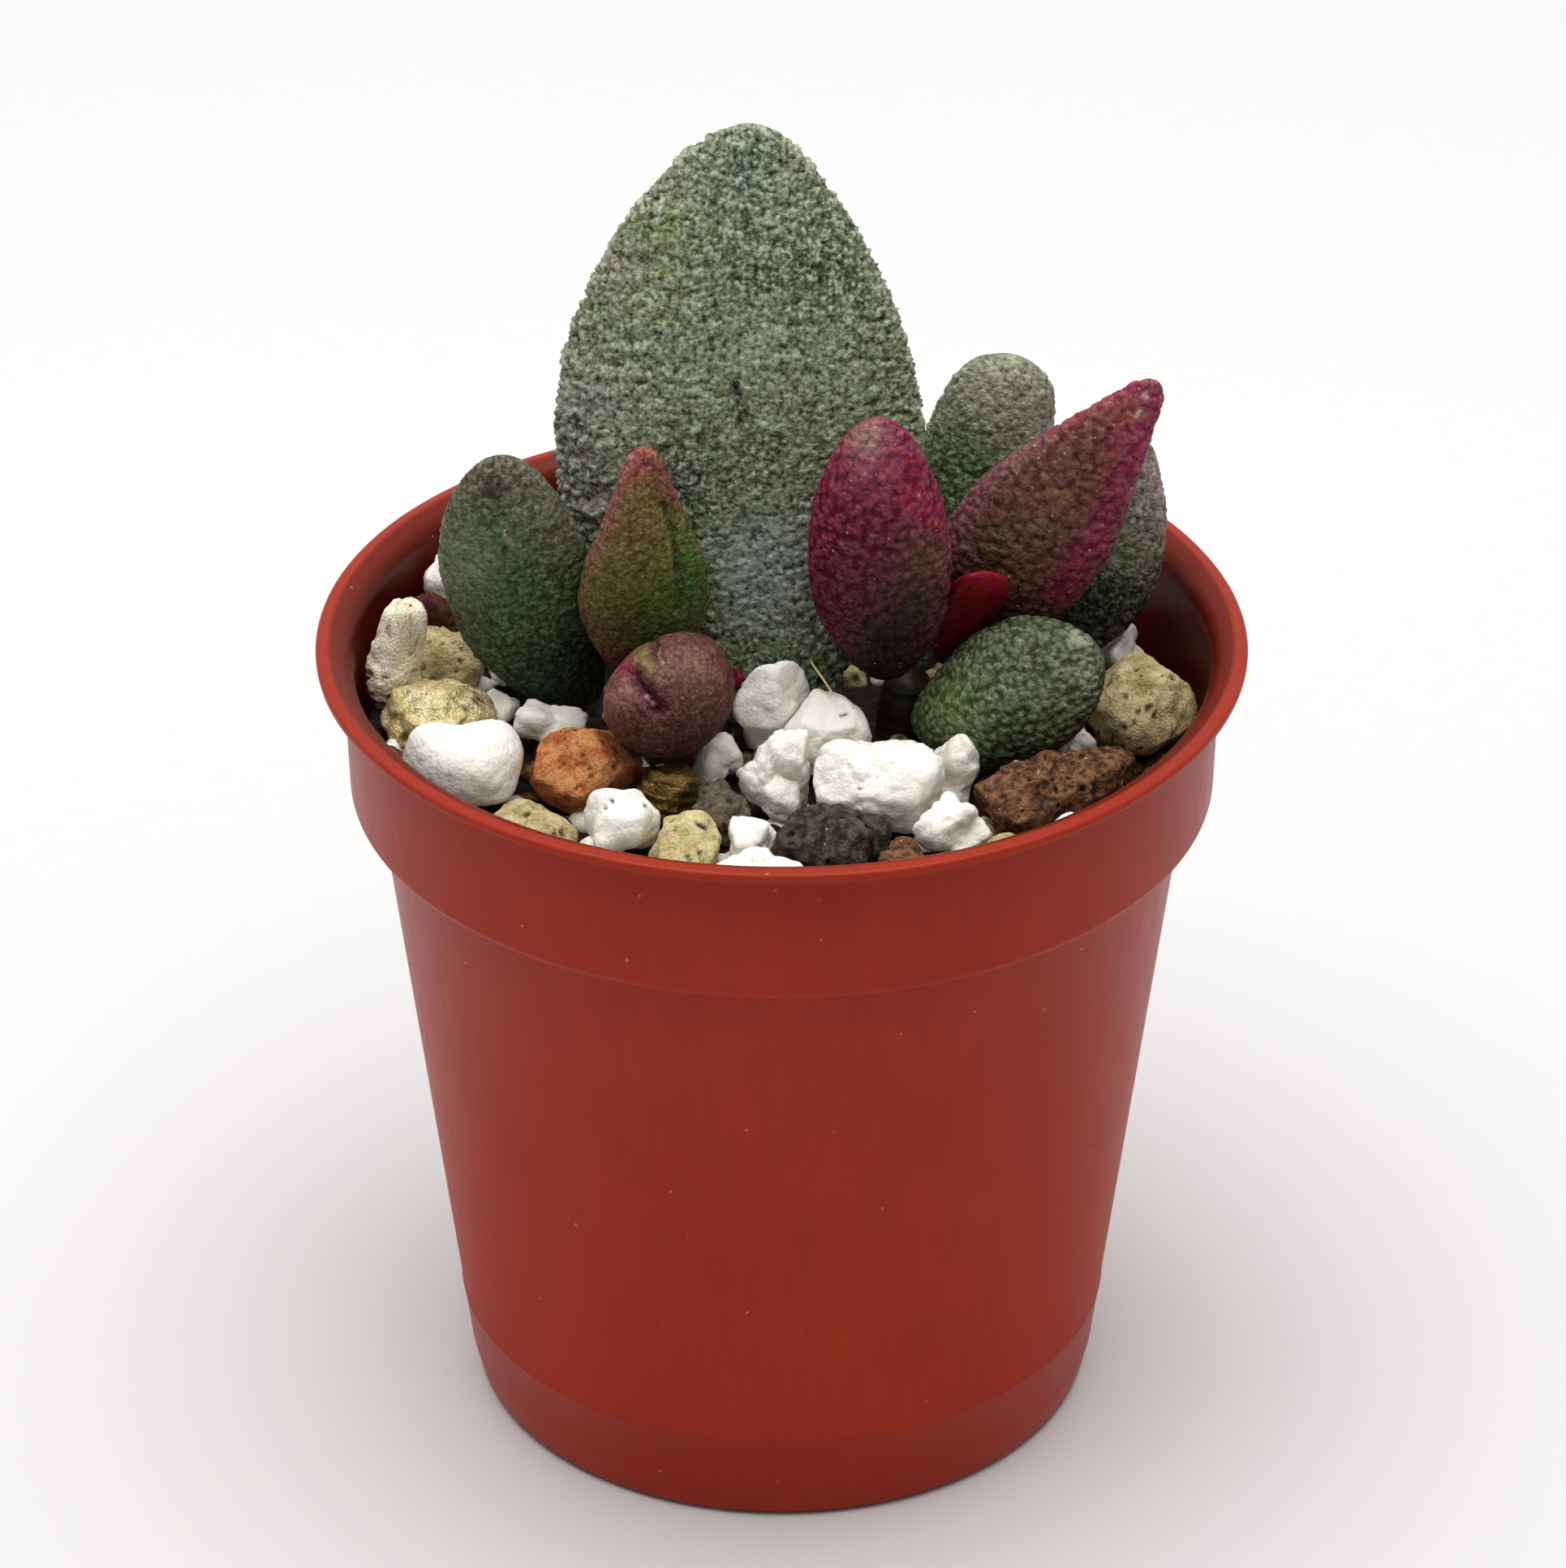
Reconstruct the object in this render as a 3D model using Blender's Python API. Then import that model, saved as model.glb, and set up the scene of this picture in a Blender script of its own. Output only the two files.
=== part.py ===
"""Potted adromischus: a small nursery pot filled with a gritty mix, a large mother leaf and two young plantlets.

Units are metres and +Z is up. The origin is the middle of the pot's underside. The front of the plant
faces -Y. Sizes in the tables are millimetres, and MM turns them into metres when an object is made.
"""

import math

import bmesh
import bpy
import numpy as np
from mathutils import Vector, geometry

MM = 0.001

# The pot: a thin moulded cup with a lip, a collar band and a straight tapering wall.
POT_SIDES = 48
POT_HEIGHT = 50.4
LIP_RADIUS = 27.5
LIP_THICK = 0.75
BAND_RADIUS = 25.9
BAND_FOOT_RADIUS = 25.65
BAND_FOOT_Z = 40.8
WALL_TOP_RADIUS = 24.05
WALL_FOOT_RADIUS = 19.25
WALL_THICK = 0.75
FLOOR_UNDERSIDE = 0.9
FLOOR_THICK = 1.1
FOOT_RING_INNER = 16.6
DRAIN_RADIUS = 2.2
DRAIN_CIRCLE = 11.0
INNER_BAND_FOOT = 25.05
INNER_BAND_TOP = 25.3
INNER_RADIUS_AT_GRAINS = 25.15

# The mix: its surface is level at the front and banked a little higher at the back left.
SOIL_LEVEL = 42.0
SOIL_RADIUS = 24.65
BANK_RISE = 2.6
GRIT_HEIGHT = 0.45
GRIT_SPACING = 1.75
PEBBLE_APART = 3.5
CLEAR = 0.3

# Warts on the leaves, larger than life so that a coarse skin can hold them.
BIG_WART = 0.36
SMALL_WART = 0.2

# Each leaf: where it starts, the point its middle line bends towards, its tip, the way its broad face looks,
# half-widths and half-thicknesses at fractions of its length, the rings and sides of its skin, wart height, colour.
LEAVES = {
    "leaf_mother": dict(
        base=(0.2, 3.2, 39.8), bend=(-4.2, 4.0, 60.0), tip=(-1.6, 6.0, 80.7), face=(0.0, -1.0, 0.05),
        width=((0, 0), (0.03, 2.6), (0.08, 3.7), (0.13, 4.4), (0.234, 6.8), (0.357, 9.25), (0.44, 10.35),
               (0.522, 10.65), (0.613, 10.25), (0.674, 9.65), (0.734, 8.85), (0.794, 7.75), (0.853, 6.35),
               (0.912, 4.6), (0.954, 3.1), (0.98, 1.95), (1, 0)),
        thick=((0, 0), (0.05, 1.8), (0.2, 2.4), (0.5, 3.1), (0.8, 2.3), (0.95, 1.2), (1, 0)),
        groove=0.55, rings=38, sides=40, wart=BIG_WART, colour=(0.10, 0.13, 0.085)),
    "leaf_left_green": dict(
        base=(-11.0, 2.5, 44.6), bend=(-16.6, 0.95, 50.2), tip=(-16.1, -0.4, 62.4), face=(-0.1, -1.0, 0.15),
        width=((0, 0), (0.1, 2.0), (0.25, 3.3), (0.45, 4.3), (0.65, 4.4), (0.8, 3.8), (0.92, 2.5), (1, 0)),
        thick=((0, 0), (0.1, 1.5), (0.3, 2.3), (0.6, 2.3), (0.85, 1.8), (1, 0)),
        groove=0.0, rings=15, sides=16, wart=SMALL_WART, colour=(0.05, 0.09, 0.04)),
    "leaf_left_drop": dict(
        base=(-8.5, 1.0, 46.6), bend=(-7.8, -2.3, 54.2), tip=(-8.0, -2.2, 64.0), face=(0.1, -1.0, 0.1),
        width=((0, 0), (0.1, 1.8), (0.25, 3.1), (0.42, 3.85), (0.55, 3.6), (0.7, 2.7), (0.85, 1.7), (0.95, 1.1),
               (1, 0)),
        thick=((0, 0), (0.1, 1.0), (0.3, 1.9), (0.55, 2.1), (0.8, 1.3), (0.95, 0.8), (1, 0)),
        groove=0.35, rings=15, sides=16, wart=0.12, colour=(0.16, 0.10, 0.04)),
    "leaf_left_bud": dict(
        base=(-7.9, 0.0, 45.2), bend=(-6.9, -4.0, 48.6), tip=(-6.4, -8.9, 52.2), face=(-0.2, -0.5, 0.9),
        width=((0, 0), (0.12, 1.2), (0.3, 2.3), (0.5, 3.5), (0.7, 4.05), (0.87, 3.5), (0.96, 2.2), (1, 0)),
        thick=((0, 0), (0.12, 1.0), (0.3, 1.9), (0.5, 3.0), (0.7, 3.45), (0.87, 3.0), (0.96, 1.9), (1, 0)),
        groove=0.0, rings=11, sides=16, wart=0.12, colour=(0.20, 0.08, 0.07)),
    "leaf_left_tiny": dict(
        base=(-7.0, 2.4, 45.0), bend=(-4.6, 0.9, 46.3), tip=(-2.3, -0.7, 47.9), face=(0.0, -0.7, 0.7),
        width=((0, 0), (0.2, 0.7), (0.6, 1.0), (0.9, 0.6), (1, 0)),
        thick=((0, 0), (0.2, 0.5), (0.6, 0.7), (0.9, 0.45), (1, 0)),
        groove=0.0, rings=6, sides=8, wart=0.0, colour=(0.25, 0.01, 0.06)),
    "leaf_right_magenta": dict(
        base=(6.2, 0.5, 47.2), bend=(5.5, -3.9, 55.0), tip=(5.6, -3.6, 66.6), face=(-0.1, -1.0, 0.1),
        width=((0, 0), (0.08, 1.6), (0.2, 2.8), (0.4, 3.9), (0.55, 4.15), (0.7, 3.9), (0.85, 3.0), (0.95, 1.8),
               (1, 0)),
        thick=((0, 0), (0.1, 1.3), (0.3, 2.3), (0.6, 2.6), (0.85, 2.0), (1, 0)),
        groove=0.0, rings=16, sides=16, wart=0.18, colour=(0.27, 0.03, 0.09)),
    "leaf_right_back": dict(
        base=(8.2, 3.9, 45.6), bend=(10.2, 9.0, 52.0), tip=(13.9, 9.5, 63.9), face=(0.1, -1.0, 0.2),
        width=((0, 0), (0.15, 1.6), (0.4, 3.4), (0.6, 3.8), (0.8, 3.5), (0.93, 2.6), (1, 0)),
        thick=((0, 0), (0.15, 1.2), (0.4, 2.0), (0.7, 2.0), (0.9, 1.5), (1, 0)),
        groove=0.0, rings=15, sides=16, wart=SMALL_WART, colour=(0.13, 0.15, 0.09)),
    "leaf_right_pointed": dict(
        base=(9.4, 3.3, 46.6), bend=(14.7, 1.3, 56.8), tip=(21.8, 0.6, 66.8), face=(0.1, -1.0, 0.2),
        width=((0, 0), (0.1, 1.8), (0.22, 3.2), (0.38, 4.6), (0.5, 4.55), (0.65, 3.7), (0.8, 2.45), (0.9, 1.55),
               (0.97, 0.9), (1, 0)),
        thick=((0, 0), (0.1, 1.2), (0.25, 2.1), (0.45, 2.5), (0.7, 1.8), (0.9, 1.0), (1, 0)),
        groove=0.0, rings=18, sides=16, wart=0.18, colour=(0.20, 0.05, 0.09)),
    "leaf_right_grey": dict(
        base=(14.9, 6.6, 46.0), bend=(20.2, 8.2, 47.0), tip=(21.5, 8.4, 58.8), face=(-0.1, -1.0, 0.1),
        width=((0, 0), (0.15, 1.6), (0.35, 2.8), (0.55, 3.0), (0.75, 2.4), (0.9, 1.35), (1, 0)),
        thick=((0, 0), (0.15, 1.1), (0.4, 1.7), (0.7, 1.6), (0.9, 0.9), (1, 0)),
        groove=0.0, rings=14, sides=14, wart=0.15, colour=(0.12, 0.12, 0.10)),
    "leaf_right_crimson": dict(
        base=(9.7, 1.1, 48.0), bend=(10.5, -0.1, 51.2), tip=(12.1, -2.2, 55.7), face=(0.3, -1.0, 0.1),
        width=((0, 0), (0.2, 0.9), (0.5, 1.75), (0.75, 1.9), (0.93, 1.1), (1, 0)),
        thick=((0, 0), (0.2, 0.5), (0.5, 0.75), (0.8, 0.7), (1, 0)),
        groove=0.0, rings=8, sides=10, wart=0.0, colour=(0.33, 0.0, 0.04)),
    "leaf_right_lying": dict(
        base=(7.9, -0.1, 44.9), bend=(12.8, -5.2, 48.2), tip=(18.5, -4.0, 51.8), face=(-0.2, -0.7, 0.75),
        width=((0, 0), (0.1, 1.9), (0.25, 3.3), (0.45, 4.2), (0.65, 4.2), (0.82, 3.4), (0.94, 2.0), (1, 0)),
        thick=((0, 0), (0.1, 1.4), (0.3, 2.5), (0.55, 3.0), (0.8, 2.4), (1, 0)),
        groove=0.0, rings=15, sides=18, wart=0.24, colour=(0.10, 0.15, 0.05)),
    "leaf_right_tiny": dict(
        base=(14.4, 8.3, 44.8), bend=(18.0, 10.2, 45.6), tip=(21.3, 10.6, 48.2), face=(0.0, -0.7, 0.7),
        width=((0, 0), (0.2, 0.7), (0.6, 1.0), (0.9, 0.6), (1, 0)),
        thick=((0, 0), (0.2, 0.5), (0.6, 0.7), (0.9, 0.45), (1, 0)),
        groove=0.0, rings=6, sides=8, wart=0.0, colour=(0.25, 0.01, 0.08)),
}

# The short stems: points along each one's middle with the radius there.
STEMS = {
    "stem_left": [((-8.9, 2.5, 39.4), 1.5), ((-8.9, 2.4, 43.0), 1.45), ((-8.6, 2.0, 45.4), 1.25)],
    "stem_right": [((7.2, 2.5, 39.4), 1.6), ((7.2, 2.4, 43.2), 1.55), ((7.4, 1.9, 46.2), 1.3)],
}
RIGHT_BRANCH = [((7.2, 2.4, 43.8), 1.1), ((10.4, 4.6, 44.0), 1.1), ((13.4, 6.3, 45.2), 1.0)]

# Colours and roughness of the kinds of grain.
KINDS = {
    "perlite": ((0.80, 0.79, 0.77), 0.9),
    "pumice": ((0.42, 0.36, 0.20), 0.9),
    "lava": ((0.09, 0.05, 0.035), 0.9),
    "clay": ((0.40, 0.13, 0.05), 0.85),
    "vermiculite": ((0.45, 0.33, 0.12), 0.45),
}

# Each loose grain: its kind, middle, half-sizes (across, deep, high), its turn about Z and its tilt about its own
# across axis in degrees, how lumpy it is and how many flat facets it has.
GRAINS = {
    "perlite_01": ("perlite", (-18.3, -6.4, 45.0), (3.7, 3.1, 2.8), 10, 0, 0.06, 0),
    "perlite_02": ("perlite", (-13.9, -0.5, 44.4), (2.1, 2.0, 1.8), 0, 0, 0.14, 0),
    "clay_01": ("clay", (-11.7, -6.4, 44.8), (3.3, 2.8, 2.4), 8, 0, 0.05, 7),
    "pumice_01": ("pumice", (-14.4, -12.6, 44.0), (2.5, 3.0, 1.9), 30, 0, 0.05, 6),
    "perlite_03": ("perlite", (-9.3, -11.8, 44.5), (2.4, 2.2, 2.2), 0, 0, 0.10, 3),
    "vermiculite_01": ("vermiculite", (-6.6, -8.1, 44.1), (2.1, 2.0, 1.8), 15, 0, 0.04, 5),
    "pumice_02": ("pumice", (-5.3, -14.2, 44.1), (2.2, 2.6, 1.9), 0, 0, 0.05, 6),
    "lava_01": ("lava", (-3.6, -10.4, 44.0), (1.9, 2.0, 1.7), 0, 0, 0.08, 5),
    "perlite_04": ("perlite", (-1.7, -13.1, 43.9), (1.7, 1.7, 1.6), 0, 0, 0.12, 0),
    "perlite_05": ("perlite", (-3.7, -3.9, 44.0), (1.7, 1.7, 1.6), 0, 0, 0.12, 3),
    "perlite_06": ("perlite", (-0.5, -1.3, 46.6), (2.5, 1.9, 2.9), 0, 12, 0.08, 3),
    "perlite_07": ("perlite", (2.9, -3.3, 45.9), (3.0, 2.4, 2.3), -8, 0, 0.05, 3),
    "perlite_08": ("perlite", (-0.3, -8.0, 45.0), (2.3, 2.1, 2.9), 0, 0, 0.11, 0),
    "perlite_09": ("perlite", (5.5, -9.1, 45.1), (4.5, 3.4, 2.9), -8, 0, 0.06, 3),
    "lava_02": ("lava", (2.6, -14.2, 44.4), (3.8, 2.9, 2.1), 5, 0, 0.06, 5),
    "perlite_10": ("perlite", (9.9, -6.9, 44.6), (2.1, 1.9, 2.1), 0, 0, 0.12, 0),
    "perlite_11": ("perlite", (10.2, -12.3, 44.3), (2.4, 2.2, 2.1), 0, 0, 0.12, 3),
    "lava_03": ("lava", (15.9, -8.6, 44.5), (6.9, 2.8, 2.6), 30, 0, 0.04, 4),
    "perlite_12": ("perlite", (17.3, -12.6, 43.9), (1.6, 1.6, 1.4), 0, 0, 0.12, 0),
    "pumice_03": ("pumice", (21.3, 0.7, 45.0), (3.7, 3.6, 2.9), -10, 0, 0.05, 6),
    "perlite_13": ("perlite", (20.3, 8.6, 44.7), (1.4, 1.9, 1.6), 0, 0, 0.10, 4),
    "pumice_04": ("pumice", (-23.0, 1.6, 46.8), (1.4, 1.6, 5.2), 90, 12, 0.03, 3),
    "lava_04": ("lava", (-20.9, 8.7, 46.4), (1.8, 1.8, 1.6), 0, 0, 0.08, 4),
    "pumice_05": ("pumice", (-20.2, 5.0, 45.2), (3.1, 2.5, 2.5), -12, 0, 0.05, 6),
    "vermiculite_02": ("vermiculite", (-20.5, -0.9, 44.9), (4.2, 2.9, 2.3), 10, 0, 0.03, 6),
    "perlite_14": ("perlite", (-19.9, 12.2, 47.2), (2.3, 2.0, 1.8), 0, 0, 0.10, 0),
    "perlite_15": ("perlite", (-17.2, 8.0, 45.8), (1.5, 1.7, 1.8), 0, 0, 0.10, 0),
    "perlite_16": ("perlite", (-16.9, 1.0, 44.2), (1.6, 1.5, 1.4), 0, 0, 0.10, 0),
    "perlite_17": ("perlite", (-16.3, 4.6, 44.9), (1.7, 1.6, 1.7), 0, 0, 0.10, 0),
    "perlite_18": ("perlite", (17.3, -1.2, 43.8), (1.4, 1.4, 1.3), 0, 0, 0.12, 0),
    "perlite_19": ("perlite", (-1.2, -17.6, 44.0), (3.2, 2.4, 1.6), 0, 0, 0.10, 0),
    "lava_05": ("lava", (7.0, -16.6, 44.0), (1.9, 2.0, 1.4), 0, 0, 0.08, 5),
    "pumice_06": ("pumice", (13.2, -15.2, 43.9), (1.8, 1.8, 1.5), 0, 0, 0.06, 5),
    "perlite_20": ("perlite", (17.0, 13.6, 44.3), (2.6, 2.4, 2.2), 20, 0, 0.10, 0),
    "pumice_07": ("pumice", (12.4, 18.0, 44.3), (2.9, 2.6, 2.1), 40, 0, 0.05, 7),
    "perlite_21": ("perlite", (6.2, 20.6, 44.4), (2.8, 2.5, 2.3), 0, 0, 0.10, 3),
    "lava_06": ("lava", (0.2, 19.8, 44.6), (2.6, 2.8, 2.1), 10, 0, 0.06, 6),
    "perlite_22": ("perlite", (-6.0, 20.6, 44.9), (3.0, 2.5, 2.3), 0, 0, 0.09, 0),
    "clay_02": ("clay", (-12.0, 18.2, 45.4), (2.6, 2.6, 2.1), 35, 0, 0.05, 6),
    "perlite_23": ("perlite", (-15.6, 15.4, 46.2), (2.0, 2.0, 1.8), 0, 0, 0.10, 0),
    "pumice_08": ("pumice", (8.0, 13.2, 44.6), (2.9, 2.5, 2.1), 15, 0, 0.05, 6),
    "perlite_24": ("perlite", (1.5, 12.9, 44.4), (2.9, 2.6, 2.3), 30, 0, 0.10, 3),
    "lava_07": ("lava", (-5.0, 13.0, 44.1), (2.6, 2.4, 2.1), 0, 0, 0.07, 6),
    "perlite_25": ("perlite", (-11.2, 11.2, 45.4), (2.8, 2.6, 2.2), 20, 0, 0.09, 0),
}
GRAIN_POWER = 14.0


def clear_scene():
    for thing in list(bpy.data.objects):
        bpy.data.objects.remove(thing, do_unlink=True)


def material_of(name, colour, roughness):
    """A plain material, made once for each name."""
    found = bpy.data.materials.get(name)
    if found:
        return found
    made = bpy.data.materials.new(name)
    made.use_nodes = True
    shader = made.node_tree.nodes["Principled BSDF"]
    shader.inputs["Base Color"].default_value = (*colour, 1.0)
    shader.inputs["Roughness"].default_value = roughness
    shader.inputs["Metallic"].default_value = 0.0
    made.diffuse_color = (*colour, 1.0)
    return made


def add_object(name, points, faces, material, sharp=None):
    """A mesh object from points in millimetres. Its faces are turned to look outwards."""
    mesh = bpy.data.meshes.new(name)
    mesh.from_pydata((np.asarray(points, float) * MM).tolist(), [], faces)
    work = bmesh.new()
    work.from_mesh(mesh)
    bmesh.ops.recalc_face_normals(work, faces=work.faces)
    if work.calc_volume(signed=True) < 0:
        bmesh.ops.reverse_faces(work, faces=work.faces)
    work.to_mesh(mesh)
    work.free()
    mesh.shade_smooth()
    if sharp is not None:
        mesh.set_sharp_from_angle(angle=math.radians(sharp))
    mesh.materials.append(material)
    made = bpy.data.objects.new(name, mesh)
    bpy.context.scene.collection.objects.link(made)
    return made


def hide(thing):
    thing.hide_render = True
    thing.display_type = "WIRE"


def cut(thing, cutter, operation="DIFFERENCE"):
    hide(cutter)
    modifier = thing.modifiers.new(operation.lower() + "_" + cutter.name, "BOOLEAN")
    modifier.operation = operation
    modifier.object = cutter


# The pot

def rounded(corners):
    """A (radius, height) outline whose corners are rounded: each corner has its fillet radius and arc steps."""
    outline = []
    for index, (r, z, fillet, steps) in enumerate(corners):
        here = np.array((r, z))
        if not fillet:
            outline.append(here)
            continue
        before = np.array(corners[index - 1][:2]) - here
        after = np.array(corners[index + 1][:2]) - here
        before /= np.linalg.norm(before)
        after /= np.linalg.norm(after)
        half = math.acos(np.clip(before @ after, -1, 1)) / 2
        reach = fillet / math.tan(half)
        middle = here + (before + after) / np.linalg.norm(before + after) * fillet / math.sin(half)
        start = here + before * reach - middle
        end = here + after * reach - middle
        for step in range(steps + 1):
            t = step / steps
            turned = start * (1 - t) + end * t
            outline.append(middle + turned / np.linalg.norm(turned) * fillet)
    return outline


def build_pot():
    inner_top = FLOOR_UNDERSIDE + FLOOR_THICK
    inner_foot = WALL_FOOT_RADIUS - WALL_THICK - 0.1
    corners = [
        (0.0, inner_top, 0, 0),
        (inner_foot, inner_top, 0.8, 2),
        (WALL_TOP_RADIUS - WALL_THICK, BAND_FOOT_Z - 0.2, 0, 0),
        (INNER_BAND_FOOT, BAND_FOOT_Z + 1.1, 0, 0),
        (INNER_BAND_TOP, POT_HEIGHT - LIP_THICK, 1.4, 3),
        (26.7, POT_HEIGHT, 0, 0),
        (LIP_RADIUS, POT_HEIGHT - 0.12, 0.18, 1),
        (LIP_RADIUS - 0.06, POT_HEIGHT - 0.62, 0.16, 1),
        (BAND_RADIUS, POT_HEIGHT - 1.25, 0.8, 1),
        (BAND_FOOT_RADIUS, BAND_FOOT_Z, 0.7, 3),
        (WALL_TOP_RADIUS, BAND_FOOT_Z - 0.15, 0, 0),
        (WALL_FOOT_RADIUS, 2.3, 0, 0),
        (18.7, 0.0, 0.9, 3),
        (FOOT_RING_INNER, 0.0, 0, 0),
        (FOOT_RING_INNER - 0.3, FLOOR_UNDERSIDE, 0, 0),
        (0.0, FLOOR_UNDERSIDE, 0, 0),
    ]
    outline = rounded(corners)
    mesh = bpy.data.meshes.new("pot")
    mesh.from_pydata(
        [(r * MM, 0.0, z * MM) for r, z in outline], [(i, i + 1) for i in range(len(outline) - 1)], [])
    pot = bpy.data.objects.new("pot", mesh)
    bpy.context.scene.collection.objects.link(pot)
    screw = pot.modifiers.new("turn", "SCREW")
    screw.steps = screw.render_steps = POT_SIDES
    screw.use_merge_vertices = True
    screw.merge_threshold = 0.00001
    screw.use_smooth_shade = True
    mesh.materials.append(material_of("moulded_plastic", (0.33, 0.045, 0.022), 0.42))
    holes = bmesh.new()
    places = [(0.0, 0.0)] + [
        (DRAIN_CIRCLE * math.cos(a), DRAIN_CIRCLE * math.sin(a)) for a in (0.785, 2.356, 3.927, 5.498)]
    for x, y in places:
        made = bmesh.ops.create_cone(
            holes, cap_ends=True, segments=12, radius1=DRAIN_RADIUS * MM, radius2=DRAIN_RADIUS * MM, depth=4 * MM)
        bmesh.ops.translate(holes, verts=made["verts"], vec=(x * MM, y * MM, 1.5 * MM))
    cutter_mesh = bpy.data.meshes.new("drain_holes")
    holes.to_mesh(cutter_mesh)
    holes.free()
    cutter = bpy.data.objects.new("drain_holes", cutter_mesh)
    bpy.context.scene.collection.objects.link(cutter)
    cut(pot, cutter)


# Leaves

def through(pairs, x):
    """A smooth curve through hand-set (place, value) pairs that never overshoots them."""
    at = np.array([p for p, _ in pairs], float)
    value = np.array([v for _, v in pairs], float) ** 2
    step = np.diff(at)
    rise = np.diff(value) / step
    slope = np.empty_like(value)
    slope[0], slope[-1] = rise[0], rise[-1]
    for i in range(1, len(at) - 1):
        a, b = rise[i - 1], rise[i]
        if a * b <= 0:
            slope[i] = 0.0
        else:
            wa, wb = 2 * step[i] + step[i - 1], step[i] + 2 * step[i - 1]
            slope[i] = (wa + wb) / (wa / a + wb / b)
    k = np.clip(np.searchsorted(at, x) - 1, 0, len(at) - 2)
    t = (x - at[k]) / step[k]
    square = (
        (1 + 2 * t) * (1 - t) ** 2 * value[k]
        + t * (1 - t) ** 2 * step[k] * slope[k]
        + t * t * (3 - 2 * t) * value[k + 1]
        + t * t * (t - 1) * step[k] * slope[k + 1])
    return np.sqrt(np.maximum(square, 0.0))


def leaf_skin(leaf, s, turn):
    """Points on the smooth skin of a leaf, at fractions s of its length and angles round it.

    The middle line is a quadratic curve from base to tip. Each cross-section is an oval, whose front half is
    flatter than its back half, and a soft groove may run down the front.
    """
    base, bend, tip = (np.array(leaf[k], float) for k in ("base", "bend", "tip"))
    s = s[:, None, None]
    middle = (1 - s) ** 2 * base + 2 * s * (1 - s) * bend + s * s * tip
    along = 2 * (1 - s) * (bend - base) + 2 * s * (tip - bend)
    along = along / np.linalg.norm(along, axis=-1, keepdims=True)
    side = np.cross(along, np.array(leaf["face"], float))
    side = side / np.linalg.norm(side, axis=-1, keepdims=True)
    front = np.cross(side, along)
    wide = through(leaf["width"], s)
    thick = through(leaf["thick"], s)
    c, k = np.cos(turn)[None, :, None], np.sin(turn)[None, :, None]
    across = wide * c
    deep = thick * k * np.where(k > 0, 0.85, 1.15)
    deep = deep - leaf["groove"] * np.exp(-(across / 1.6) ** 2) * np.maximum(k, 0) ** 2 * np.sin(np.pi * s) ** 0.5
    return middle + across * side + deep * front


def outward(grid):
    """Unit directions off a grid of points that closes round its second axis."""
    round_step = np.roll(grid, -1, 1) - np.roll(grid, 1, 1)
    long_step = np.gradient(grid, axis=0)
    normal = np.cross(long_step, round_step)
    return normal / np.maximum(np.linalg.norm(normal, axis=-1, keepdims=True), 1e-9)


def leaf_grid(leaf, seed):
    """The warty skin: rings of points, every second point up and the others down more, shifted from ring to ring."""
    rings, sides = leaf["rings"], leaf["sides"]
    u = (np.arange(rings) + 0.6) / (rings + 0.2)
    s = u - 0.055 * np.sin(2 * np.pi * u)
    turn = np.arange(sides) * 2 * np.pi / sides
    grid = leaf_skin(leaf, s, turn)
    if leaf["wart"]:
        draw = np.random.default_rng(seed)
        raised = (np.arange(rings)[:, None] + np.arange(sides)[None, :]) % 2 - 0.8
        height = leaf["wart"] * raised * draw.uniform(0.65, 1.2, (rings, sides))
        fade = np.clip(np.minimum(s / 0.12, (1 - s) / 0.06), 0, 1)[:, None]
        grid = grid + outward(grid) * (height * fade)[..., None]
    return grid


def closed_rings(grid, start, end):
    """Points and faces of a skin of rings, closed by one point at each end."""
    rings, sides = grid.shape[:2]
    points = np.concatenate([grid.reshape(-1, 3), [start, end]])
    faces = []
    for i in range(rings - 1):
        for j in range(sides):
            k = (j + 1) % sides
            a, b, c, d = i * sides + j, i * sides + k, (i + 1) * sides + k, (i + 1) * sides + j
            if (i + j) % 2:
                faces += [(a, b, c), (a, c, d)]
            else:
                faces += [(a, b, d), (b, c, d)]
    first, last = rings * sides, rings * sides + 1
    for j in range(sides):
        k = (j + 1) % sides
        faces.append((j, first, k))
        faces.append(((rings - 1) * sides + j, (rings - 1) * sides + k, last))
    return points, faces


def build_leaves():
    skins = {}
    for seed, (name, leaf) in enumerate(LEAVES.items()):
        grid = leaf_grid(leaf, seed)
        points, faces = closed_rings(grid, leaf["base"], leaf["tip"])
        add_object(name, points, faces, material_of(name, leaf["colour"], 0.6))
        start, end = (np.array(leaf["bend"]) - leaf["base"], np.array(leaf["tip"]) - leaf["bend"])
        ends = np.stack([-start / np.linalg.norm(start), end / np.linalg.norm(end)])
        facing = np.concatenate([outward(grid).reshape(-1, 3), ends])
        corners = np.array(faces)
        centre_facing = facing[corners].mean(1)
        centre_facing /= np.linalg.norm(centre_facing, axis=1, keepdims=True)
        skins[name] = np.concatenate([points, points[corners].mean(1)]), np.concatenate([facing, centre_facing])
    return skins


# Stems

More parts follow.
